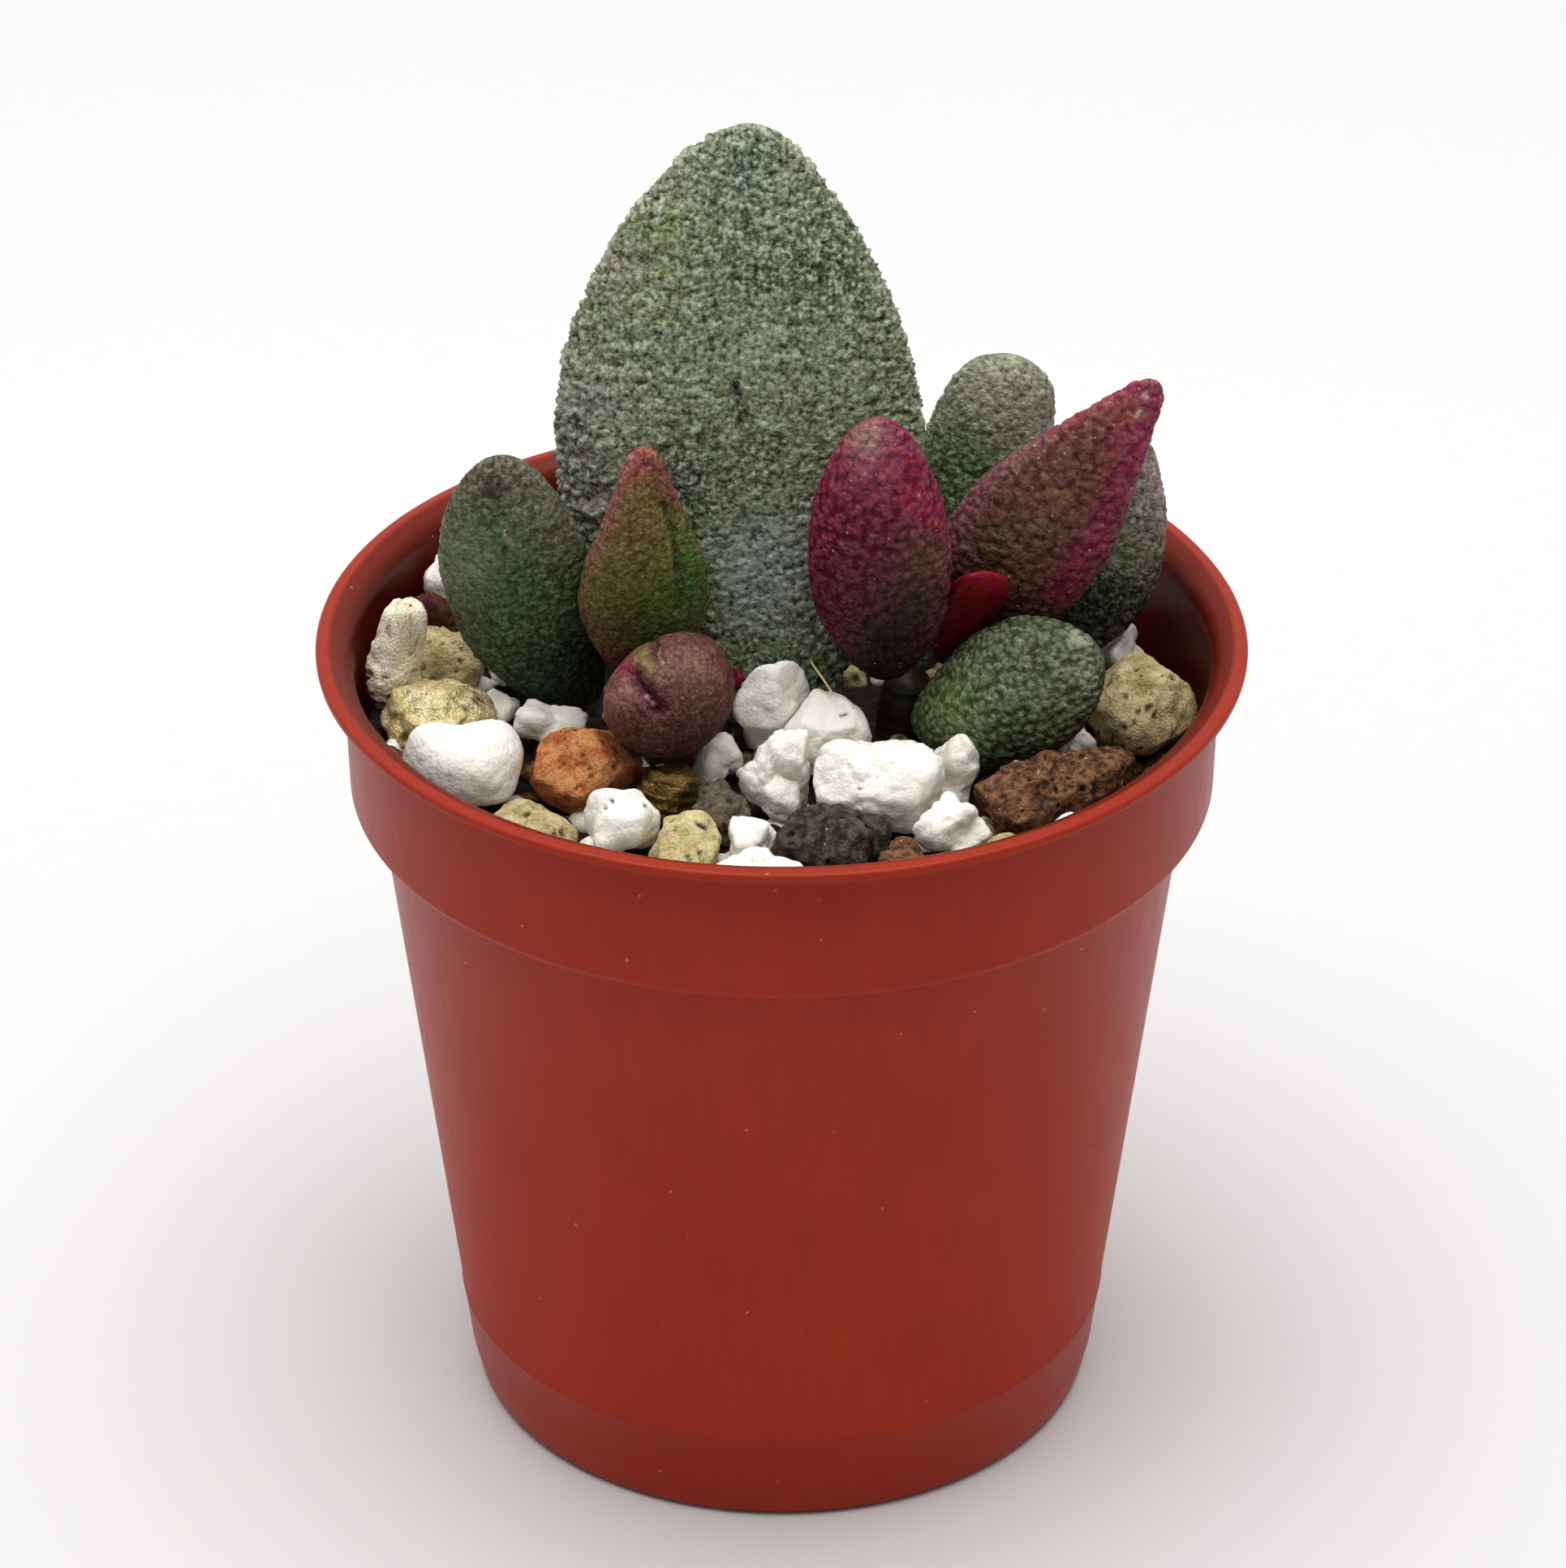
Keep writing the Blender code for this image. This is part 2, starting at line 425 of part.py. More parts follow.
def tube(path, sides, grow=0.0):
    """Rings round a bent middle line, with a point past each end, as in a blunt round-ended stem."""
    middle = np.array([p for p, _ in path], float)
    radius = np.array([r for _, r in path], float) + grow
    fine = np.linspace(0, len(path) - 1, 3 * (len(path) - 1) + 1)
    line = np.stack([np.interp(fine, range(len(path)), middle[:, k]) for k in range(3)], -1)
    size = np.interp(fine, range(len(path)), radius)
    along = np.gradient(line, axis=0)
    along /= np.linalg.norm(along, axis=1, keepdims=True)
    side = np.cross(along, (0.0, 1.0, 0.0))
    side /= np.linalg.norm(side, axis=1, keepdims=True)
    front = np.cross(along, side)
    turn = np.arange(sides) * 2 * np.pi / sides
    ring = np.cos(turn)[None, :, None] * side[:, None] + np.sin(turn)[None, :, None] * front[:, None]
    grid = line[:, None] + ring * size[:, None, None]
    end = line[-1] + along[-1] * size[-1] * 0.35
    return closed_rings(grid, line[0], end)


def build_stems():
    for name, path in STEMS.items():
        points, faces = tube(path, 10)
        stem = add_object(name, points, faces, material_of("stem", (0.10, 0.045, 0.02), 0.6), 50)
        if name == "stem_right":
            points, faces = tube(RIGHT_BRANCH, 10)
            cut(stem, add_object("branch_shape", points, faces, material_of("stem", (0, 0, 0), 1)), "UNION")


# The mix

def soil_height(x, y):
    """Height of the mix before its grit: level, with a bank at the back left."""
    toward = np.clip((-x * 0.82 + y * 0.57 - 8.0) / 14.0, 0, 1)
    return SOIL_LEVEL + BANK_RISE * toward * toward * (3 - 2 * toward)


def pebble_places():
    """Pebbles fused into the mix where no loose grain lies: seeded places that keep apart, with radius and height."""
    draw = np.random.default_rng(11)
    taken = [(*grain[1][:2], max(grain[2][:2])) for grain in GRAINS.values()]
    taken += [(0.2, 3.3, 5.0), (-8.9, 2.4, 2.6), (7.2, 2.4, 2.8), (10.4, 4.6, 2.4), (13.4, 6.3, 2.4)]
    placed = []
    for _ in range(4000):
        x, y = draw.uniform(-SOIL_RADIUS, SOIL_RADIUS, 2)
        radius, height = draw.uniform(1.5, 2.1), draw.uniform(1.1, 2.3)
        clear = math.hypot(x, y) < SOIL_RADIUS - radius - 0.1
        clear = clear and all(math.hypot(x - a, y - b) > size + radius * 0.75 for a, b, size in taken)
        clear = clear and all(math.hypot(x - p[0], y - p[1]) > PEBBLE_APART for p in placed)
        if clear:
            placed.append((x, y, radius, height))
    return placed


def build_soil():
    """A filled cup of mix: a triangulated surface of raised grit, side walls that follow the pot, and a flat foot."""
    draw = np.random.default_rng(5)
    sides = 48
    count = int(math.pi * (SOIL_RADIUS - 1.2) ** 2 / (GRIT_SPACING ** 2 * 0.9))
    n = np.arange(count) + 0.5
    radius = (SOIL_RADIUS - 1.2) * np.sqrt(n / count)
    turn = n * math.pi * (3 - math.sqrt(5))
    x, y = radius * np.cos(turn), radius * np.sin(turn)
    grit = GRIT_HEIGHT * draw.uniform(0.0, 1.0, count)
    for px, py, size, height in pebble_places():
        off = ((x - px) ** 2 + (y - py) ** 2) / size ** 2
        grit = np.maximum(grit, height * np.sqrt(np.maximum(1 - off, 0)))
    edge = np.arange(sides) * 2 * np.pi / sides
    ex, ey = SOIL_RADIUS * np.cos(edge), SOIL_RADIUS * np.sin(edge)
    flat = [(float(a), float(b)) for a, b in zip(np.r_[ex, x], np.r_[ey, y])]
    flat, _, triangles, _, _, _ = geometry.delaunay_2d_cdt(
        [Vector(p) for p in flat], [], [list(range(sides))], 1, 1e-6)
    flat = np.array([tuple(p) for p in flat])
    top = np.c_[flat, soil_height(flat[:, 0], flat[:, 1]) + np.r_[np.zeros(sides), grit]]
    points = [tuple(p) for p in top]
    faces = [tuple(t) for t in triangles]
    last = list(range(sides))
    for r, z in ((22.95, 41.0), (18.05, 2.4)):
        ring = list(range(len(points), len(points) + sides))
        points += [(r * math.cos(a), r * math.sin(a), z) for a in edge]
        for j in range(sides):
            k = (j + 1) % sides
            faces.append((last[j], ring[j], ring[k], last[k]))
        last = ring
    faces.append(tuple(reversed(last)))
    soil = add_object("soil", points, faces, material_of("potting_mix", (0.07, 0.05, 0.035), 0.95), 40)
    hole = (0.2, 3.3)
    edge = np.arange(20) * 2 * np.pi / 20
    rings = np.array([[(hole[0] + 4.7 * np.cos(a), hole[1] + 2.9 * np.sin(a), z) for a in edge] for z in (39.2, 46.0)])
    points, faces = closed_rings(rings, (*hole, 39.1), (*hole, 46.1))
    cut(soil, add_object("leaf_hole", points, faces, material_of("potting_mix", (0, 0, 0), 1)))
    for name, path in STEMS.items():
        low, high = path[0], path[1]
        deep = ((low[0][0], low[0][1], low[0][2] - 0.4), low[1])
        points, faces = tube([deep, high], 12, grow=CLEAR + 0.05)
        cut(soil, add_object(name + "_hole", points, faces, material_of("potting_mix", (0, 0, 0), 1)))


# Grains

def spin(turn, tilt):
    """The frame of a grain: tilted about its own across axis, then turned about Z."""
    a, b = math.radians(turn), math.radians(tilt)
    about_z = np.array([[math.cos(a), -math.sin(a), 0], [math.sin(a), math.cos(a), 0], [0, 0, 1]])
    about_x = np.array([[1, 0, 0], [0, math.cos(b), -math.sin(b)], [0, math.sin(b), math.cos(b)]])
    return about_z @ about_x


def grain_body(grain, seed, ray):
    """Distance from a grain's middle to its own lumpy, faceted skin along unit rays, before its neighbours cut it."""
    _, middle, half, turn, tilt, lumps, facets = grain
    draw = np.random.default_rng(100 + seed)
    local = ray @ spin(turn, tilt)
    size = np.broadcast_to(np.array(half, float), local.shape).copy()
    under = middle[2] - float(soil_height(middle[0], middle[1])) - GRIT_HEIGHT
    size[:, 2] = np.where(local[:, 2] < 0, np.maximum(under, half[2] * 0.8), half[2])
    reach = 1 / np.linalg.norm(local / size, axis=1)
    for _ in range(5):
        way = draw.normal(size=3)
        way /= np.linalg.norm(way)
        reach = reach * (1 + lumps * np.cos(draw.uniform(2.5, 5.5) * (ray @ way) + draw.uniform(0, 6.28)))
    inverse = reach ** -GRAIN_POWER
    for _ in range(facets):
        way = draw.normal(size=3)
        way /= np.linalg.norm(way)
        near = 1 / np.linalg.norm(way @ spin(turn, tilt) / np.array(half, float))
        facing = np.maximum(ray @ way, 1e-3)
        inverse = inverse + (facing / (near * draw.uniform(0.78, 0.95))) ** GRAIN_POWER
    return inverse ** (-1 / GRAIN_POWER)


def spine(name):
    """A few points along a grain's longest axis, as far as its skin's roundness allows, and its middling half-size."""
    _, middle, half, turn, tilt, _, _ = GRAINS[name]
    order = np.argsort(half)
    way = spin(turn, tilt)[:, order[2]]
    run = half[order[2]] - half[order[1]]
    return np.array(middle, float) + np.linspace(-run, run, 9)[:, None] * way, half[order[1]]


def grain_limits(name, seeds, skins):
    """Flat limits (unit direction, distance) that keep a grain off its neighbours, the leaves and the mix."""
    middle = np.array(GRAINS[name][1], float)
    mine, my_half = spine(name)
    limits = []
    for other in GRAINS:
        theirs, their_half = spine(other)
        if other == name or np.linalg.norm(theirs[4] - middle) > 14:
            continue
        apart = np.linalg.norm(theirs[None] - mine[:, None], axis=2)
        i, j = np.unravel_index(apart.argmin(), apart.shape)
        way = (theirs[j] - mine[i]) / apart[i, j]
        share = (apart[i, j] - CLEAR) * my_half / (my_half + their_half)
        limits.append((way, (mine[i] - middle) @ way + share))
    half = max(GRAINS[name][2][:2])
    x, y = middle[0] + half * np.cos(np.arange(8)), middle[1] + half * np.sin(np.arange(8))
    floor = float(soil_height(x, y).max()) + GRIT_HEIGHT + CLEAR
    limits.append((np.array((0, 0, -1.0)), middle[2] - floor))
    off = np.concatenate([points for points, _ in skins.values()]) - middle
    facing = np.concatenate([normals for _, normals in skins.values()])
    far = np.linalg.norm(off, axis=1)
    off, facing, far = off[far < 11], facing[far < 11], far[far < 11]
    for _ in range(10):
        if not len(far):
            break
        way = off / far[:, None]
        room = far - CLEAR - grain_reach(name, seeds, limits, way)
        worst = room.argmin()
        if room[worst] > 0:
            break
        flat = -facing[worst] @ off[worst] - CLEAR
        if flat > 0.3 * far[worst]:
            limits.append((-facing[worst], flat))
        else:
            limits.append((way[worst], far[worst] - CLEAR))
    return limits


def grain_reach(name, seeds, limits, ray):
    """Distance to the finished skin: the grain's own body, its flat limits and the pot's round wall, joined softly."""
    middle = np.array(GRAINS[name][1], float)
    inverse = grain_body(GRAINS[name], seeds[name], ray) ** -GRAIN_POWER
    for way, distance in limits:
        inverse = inverse + (np.maximum(ray @ way, 1e-3) / distance) ** GRAIN_POWER
    level = np.maximum((ray[:, :2] ** 2).sum(1), 1e-6)
    dot = ray[:, :2] @ middle[:2]
    wall = (-dot + np.sqrt(dot ** 2 - level * (middle[:2] @ middle[:2] - (INNER_RADIUS_AT_GRAINS - CLEAR) ** 2))) / level
    inverse = inverse + wall ** -GRAIN_POWER
    return inverse ** (-1 / GRAIN_POWER)


def build_grains(skins):
    seeds = {name: index for index, name in enumerate(GRAINS)}
    for name, grain in GRAINS.items():
        work = bmesh.new()
        bmesh.ops.create_icosphere(work, subdivisions=2, radius=1.0)
        ray = np.array([tuple(v.co) for v in work.verts])
        ray /= np.linalg.norm(ray, axis=1, keepdims=True)
        faces = [tuple(v.index for v in f.verts) for f in work.faces]
        work.free()
        reach = grain_reach(name, seeds, grain_limits(name, seeds, skins), ray)
        colour, roughness = KINDS[grain[0]]
        add_object(
            name, np.array(grain[1]) + ray * reach[:, None], faces, material_of(grain[0], colour, roughness), 35)


def main():
    clear_scene()
    build_pot()
    skins = build_leaves()
    build_stems()
    build_soil()
    build_grains(skins)


main()
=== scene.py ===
# %% [markdown]
# # A potted adromischus, dressed
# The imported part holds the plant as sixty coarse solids: a moulded pot, the mix in it, two short
# stems, twelve leaves and the loose grains on top. This lesson makes a fine skin for each of them.
# Every skin is worked out with numpy from the same sizes as its solid, so it keeps that solid's
# place and form, and only the small things are added: warts, pits, crumbs, colour and gloss.

import math
from itertools import product

import bpy
import numpy as np
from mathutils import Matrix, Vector


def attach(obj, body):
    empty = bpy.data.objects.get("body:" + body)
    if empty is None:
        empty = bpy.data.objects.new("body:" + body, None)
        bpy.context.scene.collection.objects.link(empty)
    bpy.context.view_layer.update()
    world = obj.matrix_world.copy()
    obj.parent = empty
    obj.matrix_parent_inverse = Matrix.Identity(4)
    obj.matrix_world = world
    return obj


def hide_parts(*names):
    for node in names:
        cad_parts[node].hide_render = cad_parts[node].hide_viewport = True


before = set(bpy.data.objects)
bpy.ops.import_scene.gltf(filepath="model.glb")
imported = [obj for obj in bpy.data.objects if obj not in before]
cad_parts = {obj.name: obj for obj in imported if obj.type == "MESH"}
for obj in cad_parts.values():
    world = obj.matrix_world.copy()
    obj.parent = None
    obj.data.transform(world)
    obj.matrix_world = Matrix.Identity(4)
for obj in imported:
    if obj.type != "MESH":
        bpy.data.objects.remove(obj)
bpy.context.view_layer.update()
MM = 0.001

# %% [markdown]
# ## Chance that comes out the same each time
# Warts, pits and crumbs are scattered, but the script has to give the same plant on every run. So
# chance is a fixed rule here: the whole-number address of a small cube of space is stirred until it
# looks random. Nothing has to be stored, and any point in space can ask for the numbers of the cubes
# round it.

# %% Numbers for a cell of space
def stirred(cell, salt):
    """Three numbers from 0 to 1 for each row of whole numbers.

    The three address numbers are multiplied by large odd numbers and added, then the bits are
    folded onto themselves and multiplied twice more. Each third of the bits gives one number.
    """
    cell = cell.astype(np.uint64)
    n = (cell[..., 0] * np.uint64(0x9E3779B97F4A7C15) + cell[..., 1] * np.uint64(0xC2B2AE3D27D4EB4F)
         + cell[..., 2] * np.uint64(0x165667B19E3779F9) + np.uint64(salt * 7919 + 13))
    n = (n ^ (n >> np.uint64(30))) * np.uint64(0xBF58476D1CE4E5B9)
    n = (n ^ (n >> np.uint64(27))) * np.uint64(0x94D049BB133111EB)
    n = n ^ (n >> np.uint64(31))
    third = np.uint64(0x1FFFFF)
    parts = [(n >> np.uint64(shift)) & third for shift in (0, 21, 42)]
    return np.stack(parts, -1) / float(0x1FFFFF)


def ripple(points, size, salt=0):
    """Smooth noise from -1 to 1: the corner numbers of each cube, blended with an S-curve across it."""
    q = points / size
    home = np.floor(q)
    f = q - home
    f = f * f * (3 - 2 * f)
    home = home.astype(np.int64)
    total = np.zeros(q.shape[:-1])
    for corner in product((0, 1), repeat=3):
        weight = np.where(corner, f, 1 - f).prod(-1)
        total += weight * stirred(home + corner, salt)[..., 0]
    return total * 2 - 1


def cells(points, size, salt=0, flat=False):
    """Distances to the nearest and second nearest of scattered seeds, in cells, and the nearest one's number.

    Each cube of space holds one seed, and the 27 cubes round a point are enough to find its nearest
    two. A flat map has its seeds in a plane, nearer the middles of their squares, so they lie more evenly.
    """
    q = points / size
    home = np.floor(q).astype(np.int64)
    first = np.full(q.shape[:-1], 9.0)
    second, number = first.copy(), np.zeros(q.shape[:-1])
    for step in product((-1, 0, 1), (-1, 0, 1), (0,) if flat else (-1, 0, 1)):
        seed = stirred(home + step, salt)
        if flat:
            seed = (0.12 + 0.76 * seed) * (1, 1, 0)
        far = np.linalg.norm(q - home - step - seed, axis=-1)
        closer = far < first
        second = np.where(closer, first, np.minimum(second, far))
        number = np.where(closer, (seed[..., 0] * 7 + seed[..., 1] * 5 + seed[..., 2] * 3) % 1, number)
        first = np.where(closer, far, first)
    return first, second, number


def ease(low, high, value):
    """An S-curve from 0 at low to 1 at high."""
    t = np.clip((value - low) / (high - low), 0, 1)
    return t * t * (3 - 2 * t)


check = np.random.default_rng(1).uniform(-30, 30, (2000, 3))
print("ripple spans", ripple(check, 1.0).min().round(2), "to", ripple(check, 1.0).max().round(2))

# %% [markdown]
# ## Surfaces from grids
# A leaf, a grain and a pot are all one grid of points: rows one way, and columns that close round
# the other. Squares join the points, and a fan of triangles closes each end. Blender's bulk calls
# take the whole arrays at once, which is far quicker than adding faces one by one.

# %% Grid to mesh
def steps_round(count):
    """Angles of so many equal steps round a circle."""
    return np.arange(count) * 2 * np.pi / count


def unit(vectors):
    """Each vector divided by its length."""
    return vectors / np.linalg.norm(vectors, axis=-1, keepdims=True)


def round_faces(rows, columns):
    """Corner numbers of the squares between rows that close round, and of the two end fans.

    The two end points come straight after the grid's own points.
    """
    i, j = np.meshgrid(np.arange(rows - 1), np.arange(columns), indexing="ij")
    k = (j + 1) % columns
    squares = np.stack([i * columns + j, i * columns + k, (i + 1) * columns + k, (i + 1) * columns + j], -1)
    j = np.arange(columns)
    k = (j + 1) % columns
    last = (rows - 1) * columns
    fans = np.concatenate([
        np.stack([j, np.full(columns, rows * columns), k], -1),
        np.stack([last + j, last + k, np.full(columns, rows * columns + 1)], -1)])
    return squares.reshape(-1, 4), fans


def closed_grid(grid, ends):
    """Points, squares and end fans of a closed surface: rows that close round, and one point for each end."""
    return np.concatenate([grid.reshape(-1, 3), np.array(ends, float)]), *round_faces(*grid.shape[:2])


def volume(points, squares, fans):
    """Signed volume of a closed mesh: the sum over its triangles of a . (b x c) / 6."""
    tri = np.concatenate([squares[:, [0, 1, 2]], squares[:, [0, 2, 3]], fans])
    a, b, c = points[tri[:, 0]], points[tri[:, 1]], points[tri[:, 2]]
    return np.einsum("ij,ij->i", a, np.cross(b, c)).sum() / 6


def make_piece(name, points, squares, fans, material, node, slot, **fields):
    """A finished piece from points in millimetres. Fields give its material a value or colour per point."""
    if volume(points, squares, fans) < 0:
        squares, fans = squares[:, ::-1], fans[:, ::-1]
    mesh = bpy.data.meshes.new(name)
    mesh.vertices.add(len(points))
    mesh.vertices.foreach_set("co", (points * MM).astype(np.float32).ravel())
    corners = np.concatenate([squares.ravel(), fans.ravel()]).astype(np.int32)
    mesh.loops.add(len(corners))
    mesh.loops.foreach_set("vertex_index", corners)
    starts = np.concatenate([np.arange(len(squares)) * 4, len(squares) * 4 + np.arange(len(fans)) * 3])
    mesh.polygons.add(len(starts))
    mesh.polygons.foreach_set("loop_start", starts.astype(np.int32))
    mesh.update(calc_edges=True)
    mesh.shade_smooth()
    for field, values in fields.items():
        values = np.asarray(values, np.float32)
        if values.ndim == 2:
            rgba = np.concatenate([values, np.ones((len(values), 1), np.float32)], 1)
            mesh.attributes.new(field, "FLOAT_COLOR", "POINT").data.foreach_set("color", rgba.ravel())
        else:
            mesh.attributes.new(field, "FLOAT", "POINT").data.foreach_set("value", values)
    mesh.materials.append(material)
    piece = bpy.data.objects.new(name, mesh)
    bpy.context.scene.collection.objects.link(piece)
    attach(piece, "root")
    if node:
        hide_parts(node)
    return piece


print("a 4 x 8 grid gives", [len(faces) for faces in round_faces(4, 8)], "squares and end triangles")

# %% [markdown]
# ## Colours and nodes
# Colours are written as the sRGB hex values that a colour picker shows, and one function turns them
# into the linear light that shaders add up. One helper adds a node, sets it up and links it.

# %% Colour and node helpers
def light_of(code):
    """Linear red, green and blue of an sRGB hex value, by the standard's two-part curve."""
    value = np.array([int(code[i:i + 2], 16) / 255 for i in (1, 3, 5)])
    return np.where(value <= 0.04045, value / 12.92, ((value + 0.055) / 1.055) ** 2.4)


def rgba(code):
    """The same with full opacity, as a colour socket takes it."""
    return (*light_of(code), 1.0)


def fill(tree, node, sockets):
    """Fills each socket from a number, a hex colour, an output, or a node.

    A node stands for its output in use. A socket is named, or numbered where several share a
    name. A Mix node has an A, a B and a result for each kind of data, of which one is switched on.
    """
    for key, source in sockets.items():
        into = node.inputs[key] if isinstance(key, int) else next(
            socket for socket in node.inputs if socket.enabled and socket.name == key)
        if isinstance(source, bpy.types.Node):
            source = next(output for output in source.outputs if output.enabled)
        if isinstance(source, bpy.types.NodeSocket):
            tree.links.new(source, into)
        else:
            into.default_value = rgba(source) if isinstance(source, str) else source


def add_node(tree, kind, sockets=None, **settings):
    """Adds a shader node, sets its properties and fills its sockets."""
    made = tree.nodes.new("ShaderNode" + kind)
    for key, value in settings.items():
        setattr(made, key, value)
    fill(tree, made, sockets or {})
    return made


def new_material(name):
    """A material with its node tree, its Principled shader and its object coordinates."""
    material = bpy.data.materials.new(name)
    material.use_nodes = True
    tree = material.node_tree
    place = add_node(tree, "TexCoord").outputs["Object"]
    return material, tree, tree.nodes["Principled BSDF"], place


def dotted(tree, place, colour, dot, apart_mm, inner, outer, skipped, strength):
    """A colour with round dots on it, scattered so far apart. Each fades from its inner to its outer reach.

    The reaches are shares of the spacing. Each point has a random number, and gets a dot where that is
    over the number skipped.
    """
    point = add_node(tree, "TexVoronoi", {"Vector": place, "Scale": 1 / (apart_mm * MM)})
    near = add_node(tree, "MapRange", {"Value": point, "From Min": inner, "From Max": outer,
                                       "To Min": strength, "To Max": 0.0})
    some = add_node(tree, "Math", {0: point.outputs["Color"], 1: skipped}, operation="GREATER_THAN")
    share = add_node(tree, "Math", {0: near, 1: some}, operation="MULTIPLY")
    return add_node(tree, "Mix", {"Factor": share, "A": colour, "B": dot}, data_type="RGBA")


print("terracotta", [round(float(v), 3) for v in light_of("#9A3A2A")])

# %% [markdown]
# ## Leaf skin
# An adromischus leaf is a swollen, waxy store of water whose skin rises in warts. In this plant the
# old mother leaf is a frosty grey-green with a coarse, sugary grain, and the young leaves are green,
# olive, magenta or crimson with finer grain. The warts are real geometry, and light and shade are
# painted over them too: the pits are painted dark as shade, the tops are pale with wax and painted
# highlight, and the hue drifts over the leaf, so the mesh carries three fields: tint (the leaf's own
# colour), crest (0 in a pit, 1 on a top) and number (a random number for each wart). One function
# builds the material, with each leaf's own frost and painted highlight, painted pit shade and gloss.

# %% Waxy leaf skin material
# How much of the light the flesh under the wax gives back, how much wider than the grain its beads
# are, and how far apart the skin's own light and dark lie.
DEEPER = 0.775
BEAD_PER_GRAIN = 1.3
DRIFT_MM = 2.2


def granules(tree, place, grain_mm):
    """Swollen skin cells from 0 to 1, as beads broken up by noise, and the random colours of the beads."""
    noise = add_node(tree, "TexNoise", {"Vector": place, "Scale": 1 / (grain_mm * MM), "Detail": 2.0,
                                        "Roughness": 0.6})
    spread = add_node(tree, "MapRange", {"Value": noise, "From Min": 0.34, "From Max": 0.66, "To Max": 0.6})
    bead = add_node(tree, "TexVoronoi", {"Vector": place, "Scale": 1 / (grain_mm * BEAD_PER_GRAIN * MM)})
    beads = add_node(tree, "MapRange", {"Value": bead, "From Min": 0.1, "From Max": 0.65,
                                        "To Min": 0.4, "To Max": 0.0})
    return add_node(tree, "Math", {0: spread, 1: beads}, operation="ADD"), bead.outputs["Color"]


def drifting(tree, place, tint, bead_colour):
    """The tint, its value drifting slowly over the leaf and its hue changing a little from bead to bead."""
    drift = add_node(tree, "TexNoise", {"Vector": place, "Scale": 1 / (DRIFT_MM * MM), "Detail": 3.0})
    drifted = add_node(tree, "MapRange", {"Value": drift, "From Min": 0.3, "From Max": 0.7,
                                          "To Min": 0.84, "To Max": 1.16})
    hue = add_node(tree, "MapRange", {"Value": bead_colour, "To Min": 0.475, "To Max": 0.525})
    return add_node(tree, "HueSaturation", {"Color": tint, "Value": drifted, "Hue": hue})


def wax_and_highlight_share(tree, tint, number, height, frost_and_highlight_amount):
    """Share of pale wax and painted highlight: on the tops, more on some warts, and little on deep green and
    near-black parts.
    """
    lot = add_node(tree, "Math", {0: number, 1: 0.12, 2: height}, operation="MULTIPLY_ADD")
    pale_tops = add_node(tree, "MapRange", {"Value": lot, "From Min": 0.45, "From Max": 0.78,
                                          "To Min": 0.0, "To Max": frost_and_highlight_amount}, interpolation_type="SMOOTHSTEP")
    depth = add_node(tree, "SeparateColor", {"Color": tint}, mode="HSV").outputs["Blue"]
    room_by_tint = add_node(tree, "MapRange", {"Value": depth, "From Min": 0.01, "From Max": 0.12,
                                        "To Min": 0.12, "To Max": 1.0})
    return add_node(tree, "Math", {0: pale_tops, 1: room_by_tint}, operation="MULTIPLY")


def waxy_skin(
        name, frost_and_highlight, frost_and_highlight_amount, pit, gloss, glint=0.0, grain_mm=0.24, bump=0.55, coarse=0.45, speckle=0.25):
    """Plant cuticle: tint darker in pits as painted shade and pale on tops with wax and painted highlight,
    broken up by quarter-millimetre granules.
    """
    material, tree, shader, place = new_material(name)
    tint = add_node(tree, "Attribute", attribute_name="tint").outputs["Color"]
    crest = add_node(tree, "Attribute", attribute_name="crest").outputs["Fac"]
    number = add_node(tree, "Attribute", attribute_name="number").outputs["Fac"]
    grain, bead_colour = granules(tree, place, grain_mm)
    fine = add_node(tree, "Math", {0: grain, 1: 1 - coarse}, operation="MULTIPLY")
    height = add_node(tree, "Math", {0: crest, 1: coarse, 2: fine}, operation="MULTIPLY_ADD")
    body = drifting(tree, place, tint, bead_colour)
    # Painted shade: the colour darkens in the pits between the warts, down to the share pit of its value.
    sunk = add_node(tree, "MapRange", {"Value": height, "From Min": 0.12, "From Max": 0.46,
                                       "To Min": pit, "To Max": 1.0}, interpolation_type="SMOOTHSTEP")
    shaded = add_node(tree, "HueSaturation", {"Color": body, "Value": sunk, "Saturation": 1.02})
    # Pale wax and painted highlight: the tops turn towards the pale wax colour.
    pale_tops = wax_and_highlight_share(tree, tint, number, height, frost_and_highlight_amount)
    colour = add_node(tree, "Mix", {"Factor": pale_tops, "A": shaded, "B": frost_and_highlight}, data_type="RGBA")
    if glint:
        # Stray papillae that catch the light.
        colour = dotted(tree, place, colour, "#D8CFC4", apart_mm=0.5, inner=0.06, outer=0.2, skipped=0.7,
                        strength=glint)
    # The flesh under the wax swallows some of the light, more in one granule than in the next.
    lit = add_node(tree, "SeparateColor", {"Color": bead_colour}).outputs["Green"]
    lit = add_node(tree, "MapRange", {"Value": lit, "To Min": DEEPER * (1 - speckle),
                                      "To Max": DEEPER * (1 + speckle)})
    rough = add_node(tree, "MapRange", {"Value": grain, "From Min": 0.2, "From Max": 0.8,
                                        "To Min": gloss + 0.16, "To Max": gloss})
    fill(tree, shader, {
        "Base Color": add_node(tree, "HueSaturation", {"Color": colour, "Value": lit}),
        "Roughness": rough,
        "Specular IOR Level": 0.3,
        "Normal": add_node(tree, "Bump", {"Height": grain, "Strength": bump, "Distance": 0.17 * MM})})
    return material


print("a bead of the mother leaf is", round(0.26 * BEAD_PER_GRAIN, 2), "mm across")

